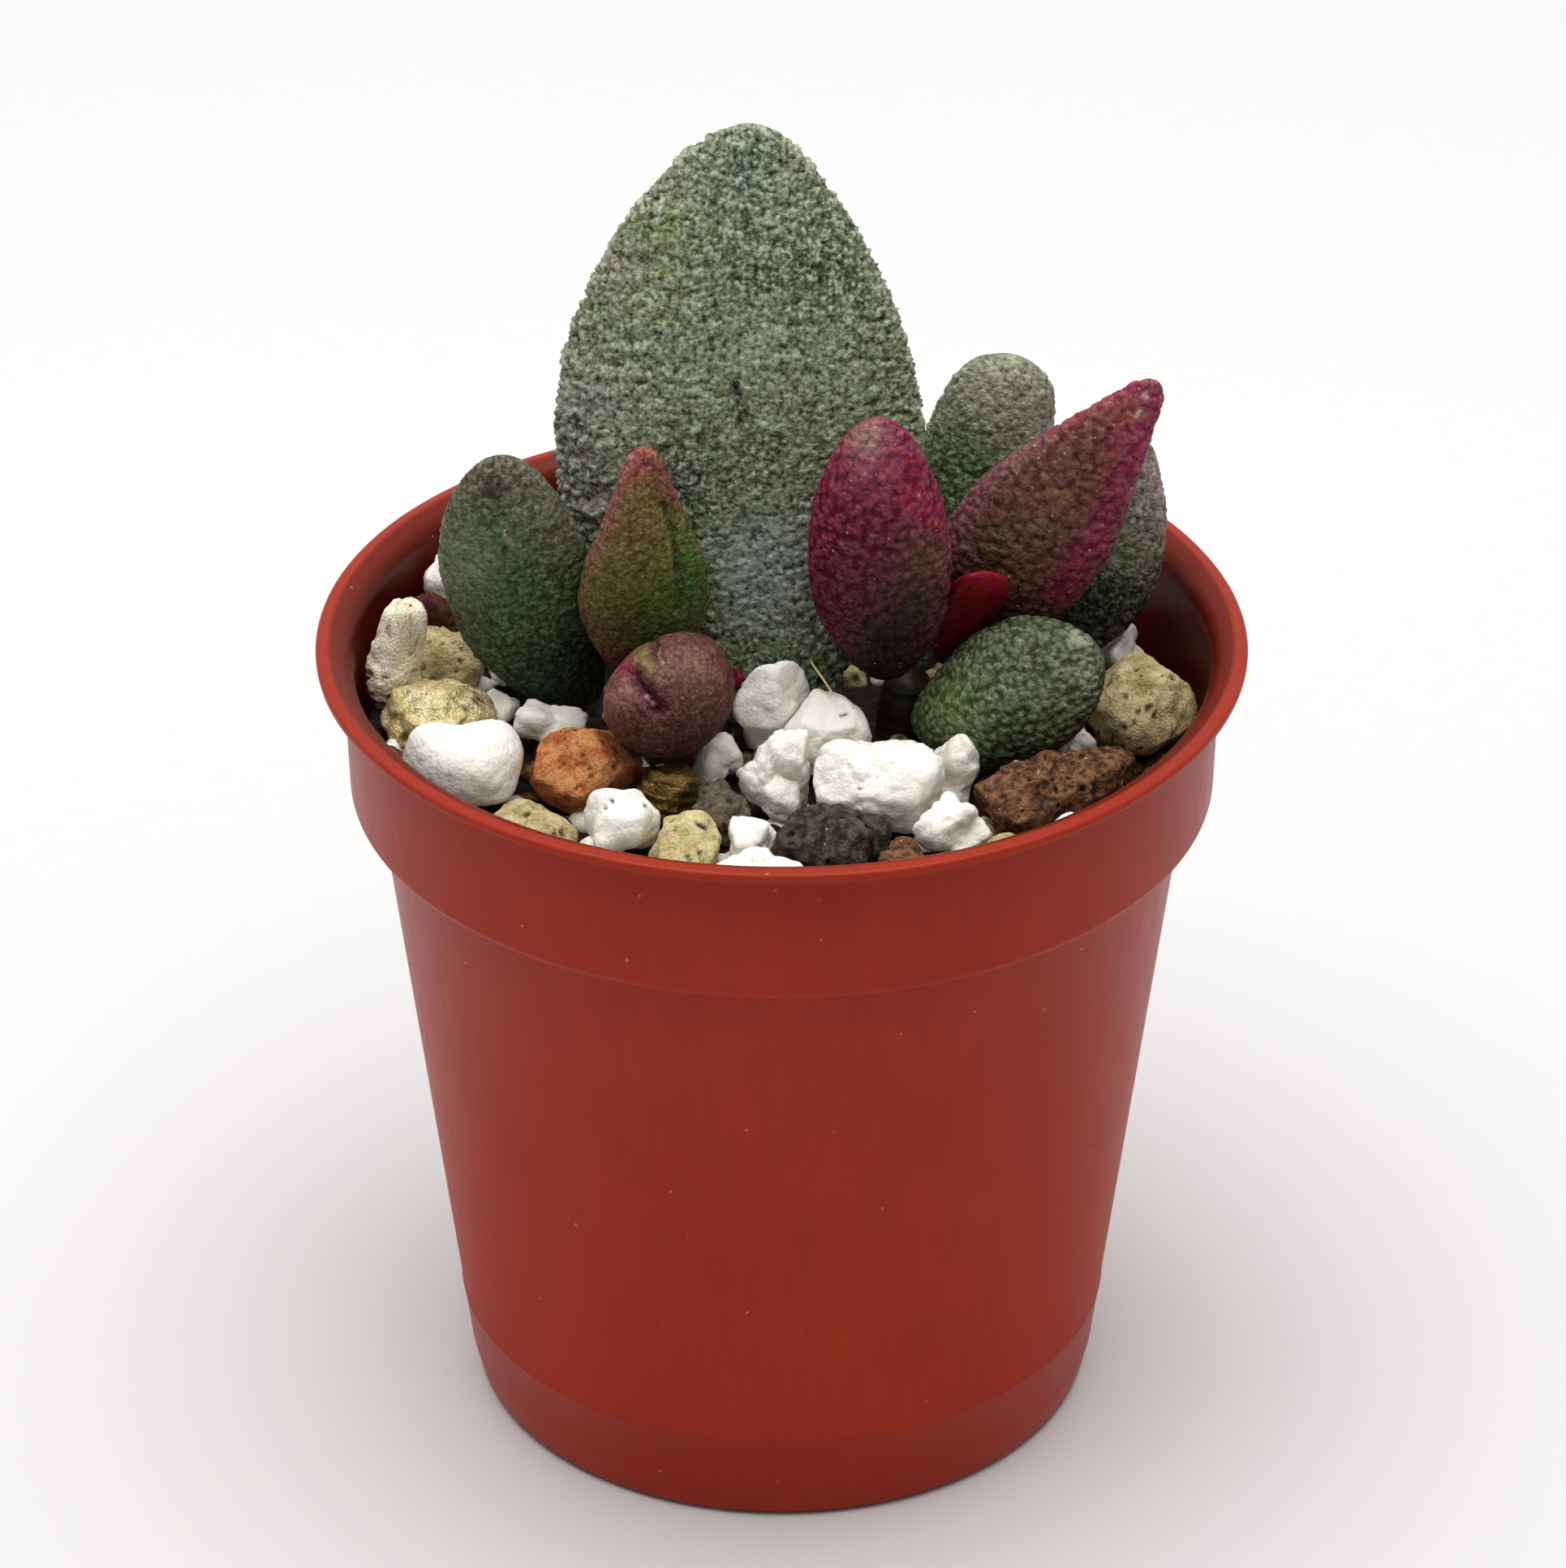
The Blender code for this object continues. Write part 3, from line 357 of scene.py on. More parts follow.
# %% [markdown]
# ## Leaf forms
# Each leaf is a swollen blade: a curved middle line, with an oval across it whose width and
# thickness change from base to tip. These are the solids' own sizes, in millimetres. To them come
# the size and height of the warts, the leaf's ground colour, and its patches: a colour, where its
# middle lies (fraction of the length, then -1 at the left margin to 1 at the right), how far it
# reaches both ways, and how strong it is. Spots and dents are placed as the camera sees them, in
# millimetres right of and above the middle of the picture: a spot is a colour, its middle, its reach
# and its strength, and a dent is a line, its reach, its depth, a colour and a strength.
#
# The mother leaf stands at the back, broad and old. It has a scar down its middle, tall warts along
# its margins and folds on its left side.

# %% The mother leaf
# What a leaf has where its own row doesn't say: no groove, a grid step of 0.14 mm, no taller warts
# along the margin, no folds, and no marks.
PLAIN_LEAF = dict(groove=0.0, step=0.14, edge=0.0, wrinkle=0.0, patches=(), spots=(), dents=())
LEAVES = {
    "leaf_mother": dict(
        base=(0.2, 3.2, 39.8), bend=(-4.2, 4.0, 60.0), tip=(-1.6, 6.0, 80.7), face=(0.0, -1.0, 0.05),
        width=((0, 0), (0.03, 2.6), (0.08, 3.7), (0.13, 4.4), (0.234, 6.8), (0.357, 9.25), (0.44, 10.35),
               (0.522, 10.65), (0.613, 10.25), (0.674, 9.65), (0.734, 8.85), (0.794, 7.75), (0.853, 6.35),
               (0.912, 4.6), (0.954, 3.1), (0.98, 1.95), (1, 0)),
        thick=((0, 0), (0.05, 1.8), (0.2, 2.4), (0.5, 3.1), (0.8, 2.3), (0.95, 1.2), (1, 0)),
        dents=((((-2.85, 23.9), (-2.75, 23.2), (-2.3, 22.0), (-2.15, 21.3)), 0.3, 0.35, "#463E38", 0.75),
               (((-2.1, 20.4), (-2.3, 19.2)), 0.5, 0.15, "#5A5650", 0.5)),
        groove=0.55, step=0.155, warts=((0.8, 0.16), (0.42, 0.17)), edge=0.32, wrinkle=0.17,
        ground="#8E9A70", patches=(
            ("#4F6A55", 0.08, 0.00, 0.10, 1.50, 0.8), ("#75665E", 0.47, -0.92, 0.10, 0.35, 0.5),
            ("#8D877C", 0.56, -1.00, 0.20, 0.22, 0.5), ("#A9A27C", 0.98, 0.10, 0.03, 1.50, 0.5),
            ("#B2B294", 0.66, 1.00, 0.30, 0.09, 0.65), ("#B0A894", 0.70, -1.00, 0.26, 0.09, 0.65)),
        spots=(("#808B70", (-1.7, 37.2), 3.2, 0.9), ("#627050", (1.9, 31.0), 3.4, 0.85),
               ("#4E5646", (-1.6, 29.6), 1.8, 0.7), ("#A0AC72", (-7.3, 33.9), 1.7, 0.6),
               ("#A2AA76", (-8.0, 29.6), 1.9, 0.6),
               ("#68806E", (-1.9, 36.7), 1.4, 0.8), ("#B4AC98", (-9.9, 31.0), 1.6, 0.6),
               ("#A8A08A", (-8.0, 35.4), 1.4, 0.6), ("#B0A484", (1.0, 37.8), 1.0, 0.7),
               ("#AAB498", (-1.7, 26.0), 3.0, 0.6), ("#B0ACA0", (-10.9, 22.6), 2.8, 0.85),
               ("#98A48C", (4.6, 23.5), 2.4, 0.7), ("#5E685A", (-5.8, 17.9), 2.4, 0.75),
               # The pale spot at (-1.0, 12.6), low on the leaf, is pale frost brightened further as painted
               # light against the shade there.
               ("#C4D2D0", (-1.0, 12.6), 3.2, 0.9), ("#C4BCB4", (-11.9, 15.8), 2.6, 0.95)),
        skin=dict(frost_and_highlight="#C8D0BE", frost_and_highlight_amount=0.8, pit=0.2, gloss=0.55, grain_mm=0.26, coarse=0.32)),
}
print("the mother leaf is", 2 * max(w for _, w in LEAVES["leaf_mother"]["width"]), "mm wide")

# %% [markdown]
# The left plantlet is young. Its leaves are a green one that leans left, a drop with a crease and a
# red edge, a bud that points at the camera with a crimson hollow, and the tip of a tiny one.

# %% The left plantlet's leaves
LEAVES |= {
    "leaf_left_green": dict(
        base=(-11.0, 2.5, 44.6), bend=(-16.6, 0.95, 50.2), tip=(-16.1, -0.4, 62.4), face=(-0.1, -1.0, 0.15),
        width=((0, 0), (0.1, 2.0), (0.25, 3.3), (0.45, 4.3), (0.65, 4.4), (0.8, 3.8), (0.92, 2.5), (1, 0)),
        thick=((0, 0), (0.1, 1.5), (0.3, 2.3), (0.6, 2.3), (0.85, 1.8), (1, 0)),
        warts=((0.6, 0.1), (0.36, 0.07)), edge=0.07,
        # The dark green patch at the foot and the spot at (-13.0, 5.6) are painted shade, in a deeper green.
        ground="#4C6A3C", patches=(
            ("#5E5148", 0.97, -0.10, 0.10, 1.20, 0.9), ("#8C7F74", 0.72, -0.95, 0.25, 0.30, 0.8),
            ("#83796B", 0.85, 0.85, 0.20, 0.35, 0.7), ("#7E8A5A", 0.88, 0.35, 0.05, 0.30, 0.6),
            ("#1F3A22", 0.20, 0.20, 0.20, 1.20, 0.85), ("#5F7A66", 0.60, -0.30, 0.14, 0.40, 0.4)),
        spots=(("#6E5C50", (-17.4, 18.4), 1.9, 0.8), ("#8C9C74", (-18.9, 12.9), 2.2, 0.75),
               ("#4C7C40", (-15.7, 10.0), 2.0, 0.7), ("#14301A", (-13.0, 5.6), 3.4, 0.9),
               ("#80806A", (-13.4, 15.2), 1.5, 0.8), ("#5A4E44", (-17.2, 17.6), 1.0, 0.7)),
        dents=((((-16.6, 15.0), (-16.2, 14.4), (-15.9, 13.9)), 0.16, -0.12, "#A8AC78", 0.95),
               (((-17.3, 18.2), (-17.0, 17.9)), 0.6, -0.3, "#4E4038", 0.8)),
        skin=dict(frost_and_highlight="#A4AE96", frost_and_highlight_amount=0.45, pit=0.5, gloss=0.5, glint=0.5, coarse=0.4)),
    "leaf_left_drop": dict(
        base=(-8.5, 1.0, 46.6), bend=(-7.8, -2.3, 54.2), tip=(-8.0, -2.2, 64.0), face=(0.1, -1.0, 0.1),
        width=((0, 0), (0.1, 1.8), (0.25, 3.1), (0.42, 3.85), (0.55, 3.6), (0.7, 2.7), (0.85, 1.7),
               (0.95, 1.1), (1, 0)),
        thick=((0, 0), (0.1, 1.0), (0.3, 1.9), (0.55, 2.1), (0.8, 1.3), (0.95, 0.8), (1, 0)),
        groove=0.35, warts=((0.45, 0.08), (0.3, 0.05)), edge=0.03,
        ground="#7A7440", patches=(
            ("#4E8030", 0.50, 0.72, 0.26, 0.32, 0.9), ("#5C7C34", 0.36, 0.15, 0.16, 0.50, 0.7),
            ("#B0545E", 0.99, 0.00, 0.09, 2.00, 0.95), ("#A24A58", 0.84, 1.00, 0.12, 0.35, 0.85),
            ("#A05560", 0.80, -1.00, 0.20, 0.35, 0.85), ("#93525A", 0.45, -1.05, 0.35, 0.14, 0.75),
            ("#8A2A52", 0.12, -0.80, 0.14, 0.60, 0.8), ("#8A5E3A", 0.72, -0.20, 0.12, 0.45, 0.7)),
        spots=(("#6C7838", (-9.0, 12.6), 2.4, 0.55), ("#5E8432", (-7.5, 10.9), 1.5, 0.6),
               ("#6E6A46", (-4.6, 13.0), 1.2, 0.7), ("#47822C", (-5.95, 13.0), 0.85, 0.85),
               ("#3C782A", (-5.85, 11.5), 0.95, 0.8)),
        # The dark browns and greens along the groove are painted shade in the crease.
        dents=((((-7.9, 19.0), (-7.4, 17.6), (-7.05, 16.4)), 0.36, 0.16, "#6A4630", 0.4),
               (((-7.05, 16.5), (-6.65, 15.2), (-6.4, 13.85), (-6.25, 12.7)), 0.26, 0.34, "#2A4418", 0.62),
               (((-6.25, 12.7), (-6.2, 11.6), (-6.25, 10.4)), 0.34, 0.22, "#34561E", 0.45),
               (((-7.3, 16.3), (-6.9, 15.0), (-6.7, 13.6), (-6.6, 12.2)), 0.14, -0.06, "#9A9C66", 0.5)),
        skin=dict(frost_and_highlight="#C0A684", frost_and_highlight_amount=0.34, pit=0.6, gloss=0.48, glint=0.3, grain_mm=0.22)),
    "leaf_left_bud": dict(
        base=(-7.9, 0.0, 45.2), bend=(-6.9, -4.0, 48.6), tip=(-6.4, -8.9, 52.2), face=(-0.2, -0.5, 0.9),
        width=((0, 0), (0.12, 1.2), (0.3, 2.3), (0.5, 3.5), (0.7, 4.05), (0.87, 3.5), (0.96, 2.2), (1, 0)),
        thick=((0, 0), (0.12, 1.0), (0.3, 1.9), (0.5, 3.0), (0.7, 3.45), (0.87, 3.0), (0.96, 1.9), (1, 0)),
        step=0.13, warts=((0.42, 0.04),),
        ground="#6C443A",
        spots=(("#A87472", (-10.0, 5.6), 1.4, 0.8), ("#8A8452", (-8.4, 7.3), 0.85, 0.9),
               ("#B0305C", (-9.3, 6.9), 0.6, 0.9), ("#6A1C38", (-7.7, 4.4), 1.0, 0.8),
               ("#8E6A5C", (-5.4, 6.6), 1.8, 0.6), ("#4A2A24", (-6.0, 2.4), 2.2, 0.7)),
        # The dark notch and the dark crimson of the hollow are painted shade over the leaf's own crimson, and
        # the three pale marks after them are painted highlights.
        dents=((((-7.75, 8.7), (-7.6, 8.1), (-7.45, 7.4)), 0.24, 0.55, "#5A3A2A", 0.6),
               (((-9.0, 6.6), (-8.8, 6.1), (-8.25, 5.6), (-7.85, 5.1), (-7.55, 4.5)),
                0.52, 0.65, "#4A0A28", 0.95),
               (((-7.5, 8.2), (-7.35, 7.6), (-7.2, 7.2)), 0.1, -0.05, "#E8D6C0", 0.9),
               (((-8.2, 5.2), (-8.1, 5.1)), 0.12, -0.05, "#D8B8C4", 0.9),
               (((-7.85, 4.85), (-7.75, 4.7)), 0.12, -0.05, "#D8B8C4", 0.9)),
        skin=dict(frost_and_highlight="#BC9084", frost_and_highlight_amount=0.22, pit=0.7, gloss=0.5, glint=0.3, grain_mm=0.2, bump=0.4)),
    "leaf_left_tiny": dict(
        base=(-7.0, 2.4, 45.0), bend=(-4.6, 0.9, 46.3), tip=(-2.3, -0.7, 47.9), face=(0.0, -0.7, 0.7),
        width=((0, 0), (0.2, 0.7), (0.6, 1.0), (0.9, 0.6), (1, 0)),
        thick=((0, 0), (0.2, 0.5), (0.6, 0.7), (0.9, 0.45), (1, 0)),
        warts=((0.35, 0.02),), ground="#8E0F3C",
        skin=dict(frost_and_highlight="#B04468", frost_and_highlight_amount=0.2, pit=0.7, gloss=0.35)),
}
print(len(LEAVES), "leaves so far")

# %% [markdown]
# The right plantlet is sun-stressed, so its leaves turn magenta and purple where light reaches them:
# an upright one, a long pointed one, a smooth crimson one and a tiny one. Those that stand in shade,
# behind, at the right and lying in front, stay green and grey.

# %% The right plantlet's leaves
LEAVES |= {
    "leaf_right_magenta": dict(
        base=(6.2, 0.5, 47.2), bend=(5.5, -3.9, 55.0), tip=(5.6, -3.6, 66.6), face=(-0.1, -1.0, 0.1),
        width=((0, 0), (0.08, 1.6), (0.2, 2.8), (0.4, 3.9), (0.55, 4.15), (0.7, 3.9), (0.85, 3.0),
               (0.95, 1.8), (1, 0)),
        thick=((0, 0), (0.1, 1.3), (0.3, 2.3), (0.6, 2.6), (0.85, 2.0), (1, 0)),
        warts=((0.6, 0.17), (0.34, 0.09)), edge=0.04,
        # The near-black patch at the foot and the spot at (5.8, 8.2) are painted shade.
        ground="#74193A", patches=(
            ("#A8586A", 0.93, -0.20, 0.09, 0.80, 0.8), ("#A9224E", 0.78, 0.85, 0.20, 0.35, 0.8),
            ("#8C1740", 0.60, -0.95, 0.30, 0.35, 0.8), ("#171009", 0.10, 0.00, 0.16, 1.50, 0.95),
            ("#6A2236", 0.55, 0.10, 0.20, 0.45, 0.5)),
        spots=(("#B09488", (5.0, 20.6), 1.0, 0.8), ("#6E5A3A", (8.6, 13.2), 1.7, 0.9),
               ("#40402A", (7.6, 10.4), 1.9, 0.9), ("#120F08", (5.8, 8.2), 2.4, 0.97)),
        skin=dict(frost_and_highlight="#B07482", frost_and_highlight_amount=0.4, pit=0.5, gloss=0.4, glint=0.8, coarse=0.55, bump=0.45)),
    "leaf_right_back": dict(
        base=(8.2, 3.9, 45.6), bend=(10.2, 9.0, 52.0), tip=(13.9, 9.5, 63.9), face=(0.1, -1.0, 0.2),
        width=((0, 0), (0.15, 1.6), (0.4, 3.4), (0.6, 3.8), (0.8, 3.55), (0.93, 2.85), (1, 0)),
        thick=((0, 0), (0.15, 1.2), (0.4, 2.0), (0.7, 2.0), (0.9, 1.5), (1, 0)),
        step=0.15, warts=((0.6, 0.11), (0.4, 0.1)), edge=0.1,
        ground="#7E8568", patches=(
            ("#B9B69E", 0.95, 0.00, 0.16, 1.40, 0.8), ("#8F877A", 0.80, 0.90, 0.30, 0.35, 0.7),
            ("#2C4A2A", 0.40, -0.20, 0.20, 1.00, 0.8)),
        spots=(("#547A48", (11.6, 18.6), 2.6, 0.9), ("#B4A89C", (15.2, 20.8), 1.8, 0.8),
               ("#B4B49C", (13.0, 24.0), 1.6, 0.8)),
        skin=dict(frost_and_highlight="#BCC2AC", frost_and_highlight_amount=0.6, pit=0.36, gloss=0.52, grain_mm=0.26, coarse=0.35)),
    "leaf_right_pointed": dict(
        base=(9.4, 3.3, 46.6), bend=(14.7, 1.3, 56.8), tip=(21.8, 0.6, 66.8), face=(0.1, -1.0, 0.2),
        width=((0, 0), (0.1, 1.8), (0.22, 3.2), (0.38, 4.6), (0.5, 4.55), (0.65, 3.7), (0.8, 2.45),
               (0.9, 1.55), (0.97, 0.9), (1, 0)),
        thick=((0, 0), (0.1, 1.2), (0.25, 2.1), (0.45, 2.5), (0.7, 1.8), (0.9, 1.0), (1, 0)),
        step=0.15, warts=((0.64, 0.16), (0.36, 0.09)), edge=0.06,
        # The dark brown patch at the foot is painted shade.
        ground="#6E4838", patches=(
            ("#AC4C60", 0.93, 0.30, 0.12, 1.50, 0.85), ("#3E2618", 0.20, 0.00, 0.16, 1.50, 0.85)),
        spots=(("#5E5C34", (12.6, 14.4), 1.7, 0.85), ("#80593E", (15.7, 17.2), 2.0, 0.7),
               ("#8A5A48", (20.9, 22.6), 0.9, 0.8)),
        dents=((((22.4, 23.4), (21.3, 20.3), (20.2, 17.8), (19.0, 15.3), (17.9, 13.3), (16.7, 11.6)),
                1.15, 0.0, "#A22E60", 0.9),
               (((15.7, 21.5), (13.3, 19.5), (11.7, 17.5), (10.6, 15.3), (9.9, 13.3)),
                1.0, 0.0, "#8E5A66", 0.8),
               (((16.0, 21.6), (18.2, 22.8), (21.1, 23.9)), 0.8, 0.0, "#A83A60", 0.8),
               # The two pale marks at the tip are painted highlights.
               (((21.55, 23.3), (21.7, 23.1)), 0.16, 0.1, "#E8D8C8", 0.9),
               (((21.3, 22.3), (21.1, 22.0)), 0.16, 0.1, "#E4D2BE", 0.9)),
        skin=dict(frost_and_highlight="#B08A78", frost_and_highlight_amount=0.36, pit=0.5, gloss=0.4, glint=0.8, coarse=0.55, bump=0.45)),
    "leaf_right_grey": dict(
        base=(14.9, 6.6, 46.0), bend=(20.2, 8.2, 47.0), tip=(21.5, 8.4, 58.8), face=(-0.1, -1.0, 0.1),
        width=((0, 0), (0.15, 1.6), (0.35, 2.8), (0.55, 3.0), (0.75, 2.4), (0.9, 1.35), (1, 0)),
        thick=((0, 0), (0.15, 1.1), (0.4, 1.7), (0.7, 1.6), (0.9, 0.9), (1, 0)),
        step=0.15, warts=((0.6, 0.12), (0.36, 0.08)), edge=0.06,
        # The dark green patch low on the leaf and the spot at (19.1, 11.2) are a deeper green and painted
        # shade.
        ground="#857C74", patches=(
            ("#A08B70", 0.97, 0.00, 0.08, 1.50, 0.85), ("#6E7A58", 0.55, -0.20, 0.14, 0.60, 0.7),
            ("#22381C", 0.32, -0.20, 0.20, 1.40, 0.95)),
        spots=(("#8A8A74", (20.6, 14.6), 1.4, 0.6), ("#1C3A16", (19.1, 11.2), 2.4, 0.95),
               ("#B4A69E", (22.0, 18.2), 1.8, 0.8), ("#8A9474", (20.2, 13.8), 1.6, 0.8)),
        skin=dict(frost_and_highlight="#BEB7AC", frost_and_highlight_amount=0.6, pit=0.42, gloss=0.52, grain_mm=0.26, coarse=0.35)),
    "leaf_right_crimson": dict(
        base=(9.7, 1.1, 48.0), bend=(10.5, -0.1, 51.2), tip=(12.1, -2.2, 55.7), face=(0.3, -1.0, 0.1),
        width=((0, 0), (0.2, 0.9), (0.5, 1.75), (0.75, 1.95), (0.93, 1.45), (1, 0)),
        thick=((0, 0), (0.2, 0.5), (0.5, 0.75), (0.8, 0.7), (1, 0)),
        warts=((0.5, 0.02),), ground="#7E0622", patches=(
            ("#B02A40", 0.98, 0.00, 0.10, 1.50, 0.7),),
        skin=dict(frost_and_highlight="#A8283F", frost_and_highlight_amount=0.15, pit=0.8, gloss=0.34, bump=0.2, speckle=0.07)),
    "leaf_right_lying": dict(
        base=(7.9, -0.1, 44.9), bend=(12.8, -5.2, 48.2), tip=(18.5, -4.0, 51.8), face=(-0.2, -0.7, 0.75),
        width=((0, 0), (0.1, 1.9), (0.25, 3.3), (0.45, 4.2), (0.65, 4.2), (0.82, 3.4), (0.94, 2.0), (1, 0)),
        thick=((0, 0), (0.1, 1.4), (0.3, 2.5), (0.55, 3.0), (0.8, 2.4), (1, 0)),
        step=0.135, warts=((0.52, 0.2), (0.3, 0.06)),
        ground="#475433",
        # The dark spot at (13.6, 2.2), low on the leaf, is painted shade.
        spots=(("#74904E", (9.9, 5.3), 2.6, 0.8), ("#56703C", (12.6, 4.6), 1.8, 0.6),
               ("#66704F", (11.6, 8.8), 1.8, 0.8), ("#464C3A", (15.4, 7.6), 3.3, 0.9),
               ("#625A4E", (18.4, 6.1), 1.6, 0.8), ("#2A3A1C", (13.6, 2.2), 2.0, 0.8),
               ("#C0C0B0", (17.4, 8.5), 0.5, 0.7)),
        skin=dict(frost_and_highlight="#BCC6A4", frost_and_highlight_amount=0.4, pit=0.66, gloss=0.4, glint=0.6, coarse=0.62, bump=0.5)),
    "leaf_right_tiny": dict(
        base=(14.4, 8.3, 44.8), bend=(18.0, 10.2, 45.6), tip=(21.3, 10.6, 48.2), face=(0.0, -0.7, 0.7),
        width=((0, 0), (0.2, 0.7), (0.6, 1.0), (0.9, 0.6), (1, 0)),
        thick=((0, 0), (0.2, 0.5), (0.6, 0.7), (0.9, 0.45), (1, 0)),
        warts=((0.35, 0.02),), ground="#8E1440",
        skin=dict(frost_and_highlight="#B04468", frost_and_highlight_amount=0.2, pit=0.7, gloss=0.35)),
}
LEAVES = {name: {**PLAIN_LEAF, **leaf} for name, leaf in LEAVES.items()}
print(len(LEAVES), "leaves in all")

# %% [markdown]
# The form follows from two formulas: a smooth curve through the given widths, and an oval ring
# across the middle line at each fraction of the length.

# %% Leaf formulas
def through(pairs, x):
    """A smooth curve through given (place, value) pairs that never overshoots them.

    The squares of the values are joined by cubic pieces whose slopes are weighted harmonic means of
    the slopes on both sides, so a value that starts at 0 leaves it as a round end does.
    """
    at = np.array([p for p, _ in pairs], float)
    value = np.array([v for _, v in pairs], float) ** 2
    step = np.diff(at)
    rise = np.diff(value) / step
    slope = np.zeros_like(value)
    slope[0], slope[-1] = rise[0], rise[-1]
    a, b = rise[:-1], rise[1:]
    wa, wb = 2 * step[1:] + step[:-1], step[1:] + 2 * step[:-1]
    turning = a * b <= 0
    a, b = np.where(turning, 1, a), np.where(turning, 1, b)
    slope[1:-1] = np.where(turning, 0, (wa + wb) / (wa / a + wb / b))
    k = np.clip(np.searchsorted(at, x) - 1, 0, len(at) - 2)
    t = (x - at[k]) / step[k]
    square = ((1 + 2 * t) * (1 - t) ** 2 * value[k] + t * (1 - t) ** 2 * step[k] * slope[k]
              + t * t * (3 - 2 * t) * value[k + 1] + t * t * (t - 1) * step[k] * slope[k + 1])
    return np.sqrt(np.maximum(square, 0.0))


# The groove's half-width in mm, and how the blade's thickness is shared between its front and back.
GROOVE_HALF = 1.6
FRONT_SHARE, BACK_SHARE = 0.85, 1.15


def leaf_surface(leaf, s, turn):
    """Points of the smooth skin for fractions s of the length and angles turn round it.

    The middle line is the quadratic curve from base to tip that bends towards its third point. Each
    ring is an oval, flatter in front, with a soft groove along the front where the leaf has one.
    """
    base, bend, tip = (np.array(leaf[k], float) for k in ("base", "bend", "tip"))
    s = s[:, None, None]
    middle = (1 - s) ** 2 * base + 2 * s * (1 - s) * bend + s * s * tip
    along = unit(2 * (1 - s) * (bend - base) + 2 * s * (tip - bend))
    side = unit(np.cross(along, np.array(leaf["face"], float)))
    front = np.cross(side, along)
    c, k = np.cos(turn)[None, :, None], np.sin(turn)[None, :, None]
    across = through(leaf["width"], s) * c
    deep = through(leaf["thick"], s) * k * np.where(k > 0, FRONT_SHARE, BACK_SHARE)
    groove = leaf["groove"] * np.exp(-(across / GROOVE_HALF) ** 2) * np.maximum(k, 0) ** 2
    return middle + across * side + (deep - groove * np.sin(np.pi * s) ** 0.5) * front


def outward(grid):
    """Unit directions off a grid of points: the cross product of its two neighbour steps."""
    round_step = np.roll(grid, -1, 1) - np.roll(grid, 1, 1)
    long_step = np.gradient(grid, axis=0)
    normal = np.cross(long_step, round_step)
    return normal / np.maximum(np.linalg.norm(normal, axis=-1, keepdims=True), 1e-9)


widest = through(LEAVES["leaf_mother"]["width"], np.linspace(0, 1, 101)).max()
print("the mother leaf's curve is", round(2 * float(widest), 2), "mm wide at its widest")

# %% [markdown]
# A grid drawn out by equal fractions would be coarse where the leaf is wide. So the run along the
# margin, and round the widest ring, is measured on a fine curve and shared out evenly.

# %% Places for the grid's points
# Points of those fine curves, and how close the columns of a leaf's back, which is seen less, stand
# next to those of its front.
FINE = 2001
BACK_WEIGHT = 0.62


def evenly(x, y, spacing, weight=1.0):
    """Fractional indices of places a spacing apart on the curve (x, y), closer where the weight is more."""
    run = np.r_[0, np.cumsum(np.hypot(np.diff(x), np.diff(y)) * weight)]
    count = int(run[-1] / spacing)
    return np.interp((np.arange(count) + 0.5) / count * run[-1], run, np.arange(len(x)))


def leaf_places(leaf):
    """Fractions of the length and angles round it that put the grid's points about one step apart."""
    base, bend, tip = (np.array(leaf[k], float) for k in ("base", "bend", "tip"))
    long = np.linalg.norm(bend - base) + np.linalg.norm(tip - bend)
    fine = np.linspace(0, 1, FINE)
    wide = through(leaf["width"], fine)
    rows = evenly(fine * long, wide, leaf["step"])
    angle = np.linspace(0, 2 * np.pi, FINE)
    thick = max(t for _, t in leaf["thick"])
    weight = np.where(np.sin(angle[1:]) > -0.3, 1.0, BACK_WEIGHT)
    columns = evenly(wide.max() * np.cos(angle), thick * np.sin(angle), leaf["step"], weight)
    return np.interp(rows, np.arange(FINE), fine), np.interp(columns, np.arange(FINE), angle)


places = leaf_places(LEAVES["leaf_mother"])
print("mother leaf grid:", len(places[0]), "x", len(places[1]))

# %% [markdown]
# ## Warts
# Each wart is a dome over one scattered seed. The height at a point falls off, as on a round hill,
# with its distance from the nearest seed, and where two hills meet they leave a sharp crease. Most
# leaves carry two sizes of wart over each other, which looks like sugary grain, and the smoothest
# young ones a single low one. Along the margins the warts stand out more.

# %% Domes on a flat map of the skin
def skin_map(smooth, turn):
    """A leaf's skin laid flat, in mm: distance along it, and signed distance round it from the front."""
    front = int(np.abs(turn - np.pi / 2).argmin())
    along = np.r_[0, np.cumsum(np.linalg.norm(np.diff(smooth[:, front], axis=0), axis=-1))]
    steps = np.linalg.norm(np.diff(smooth, axis=1), axis=-1)
    around = np.concatenate([np.zeros((len(smooth), 1)), np.cumsum(steps, axis=1)], 1)
    around -= around[:, front:front + 1]
    return np.stack([np.broadcast_to(along[:, None], around.shape), around, np.zeros(around.shape)], -1)


def domes(points, size, salt, flat=False):
    """Round hills over scattered seeds, (1 - (distance / 0.7)^2)^0.9 of a cell, and each cell's number."""
    first, _, number = cells(points, size, salt, flat)
    return np.clip(1 - (first / 0.7) ** 2, 0, 1) ** 0.9, number


# How far noise moves the edge of a wart, as a share of its size, how low the lowest warts stay next to
# the tallest, and where across the leaf its margin starts.
WART_STRAY = 0.12
LOWEST_WART = 0.6
MARGIN_FROM = 0.7


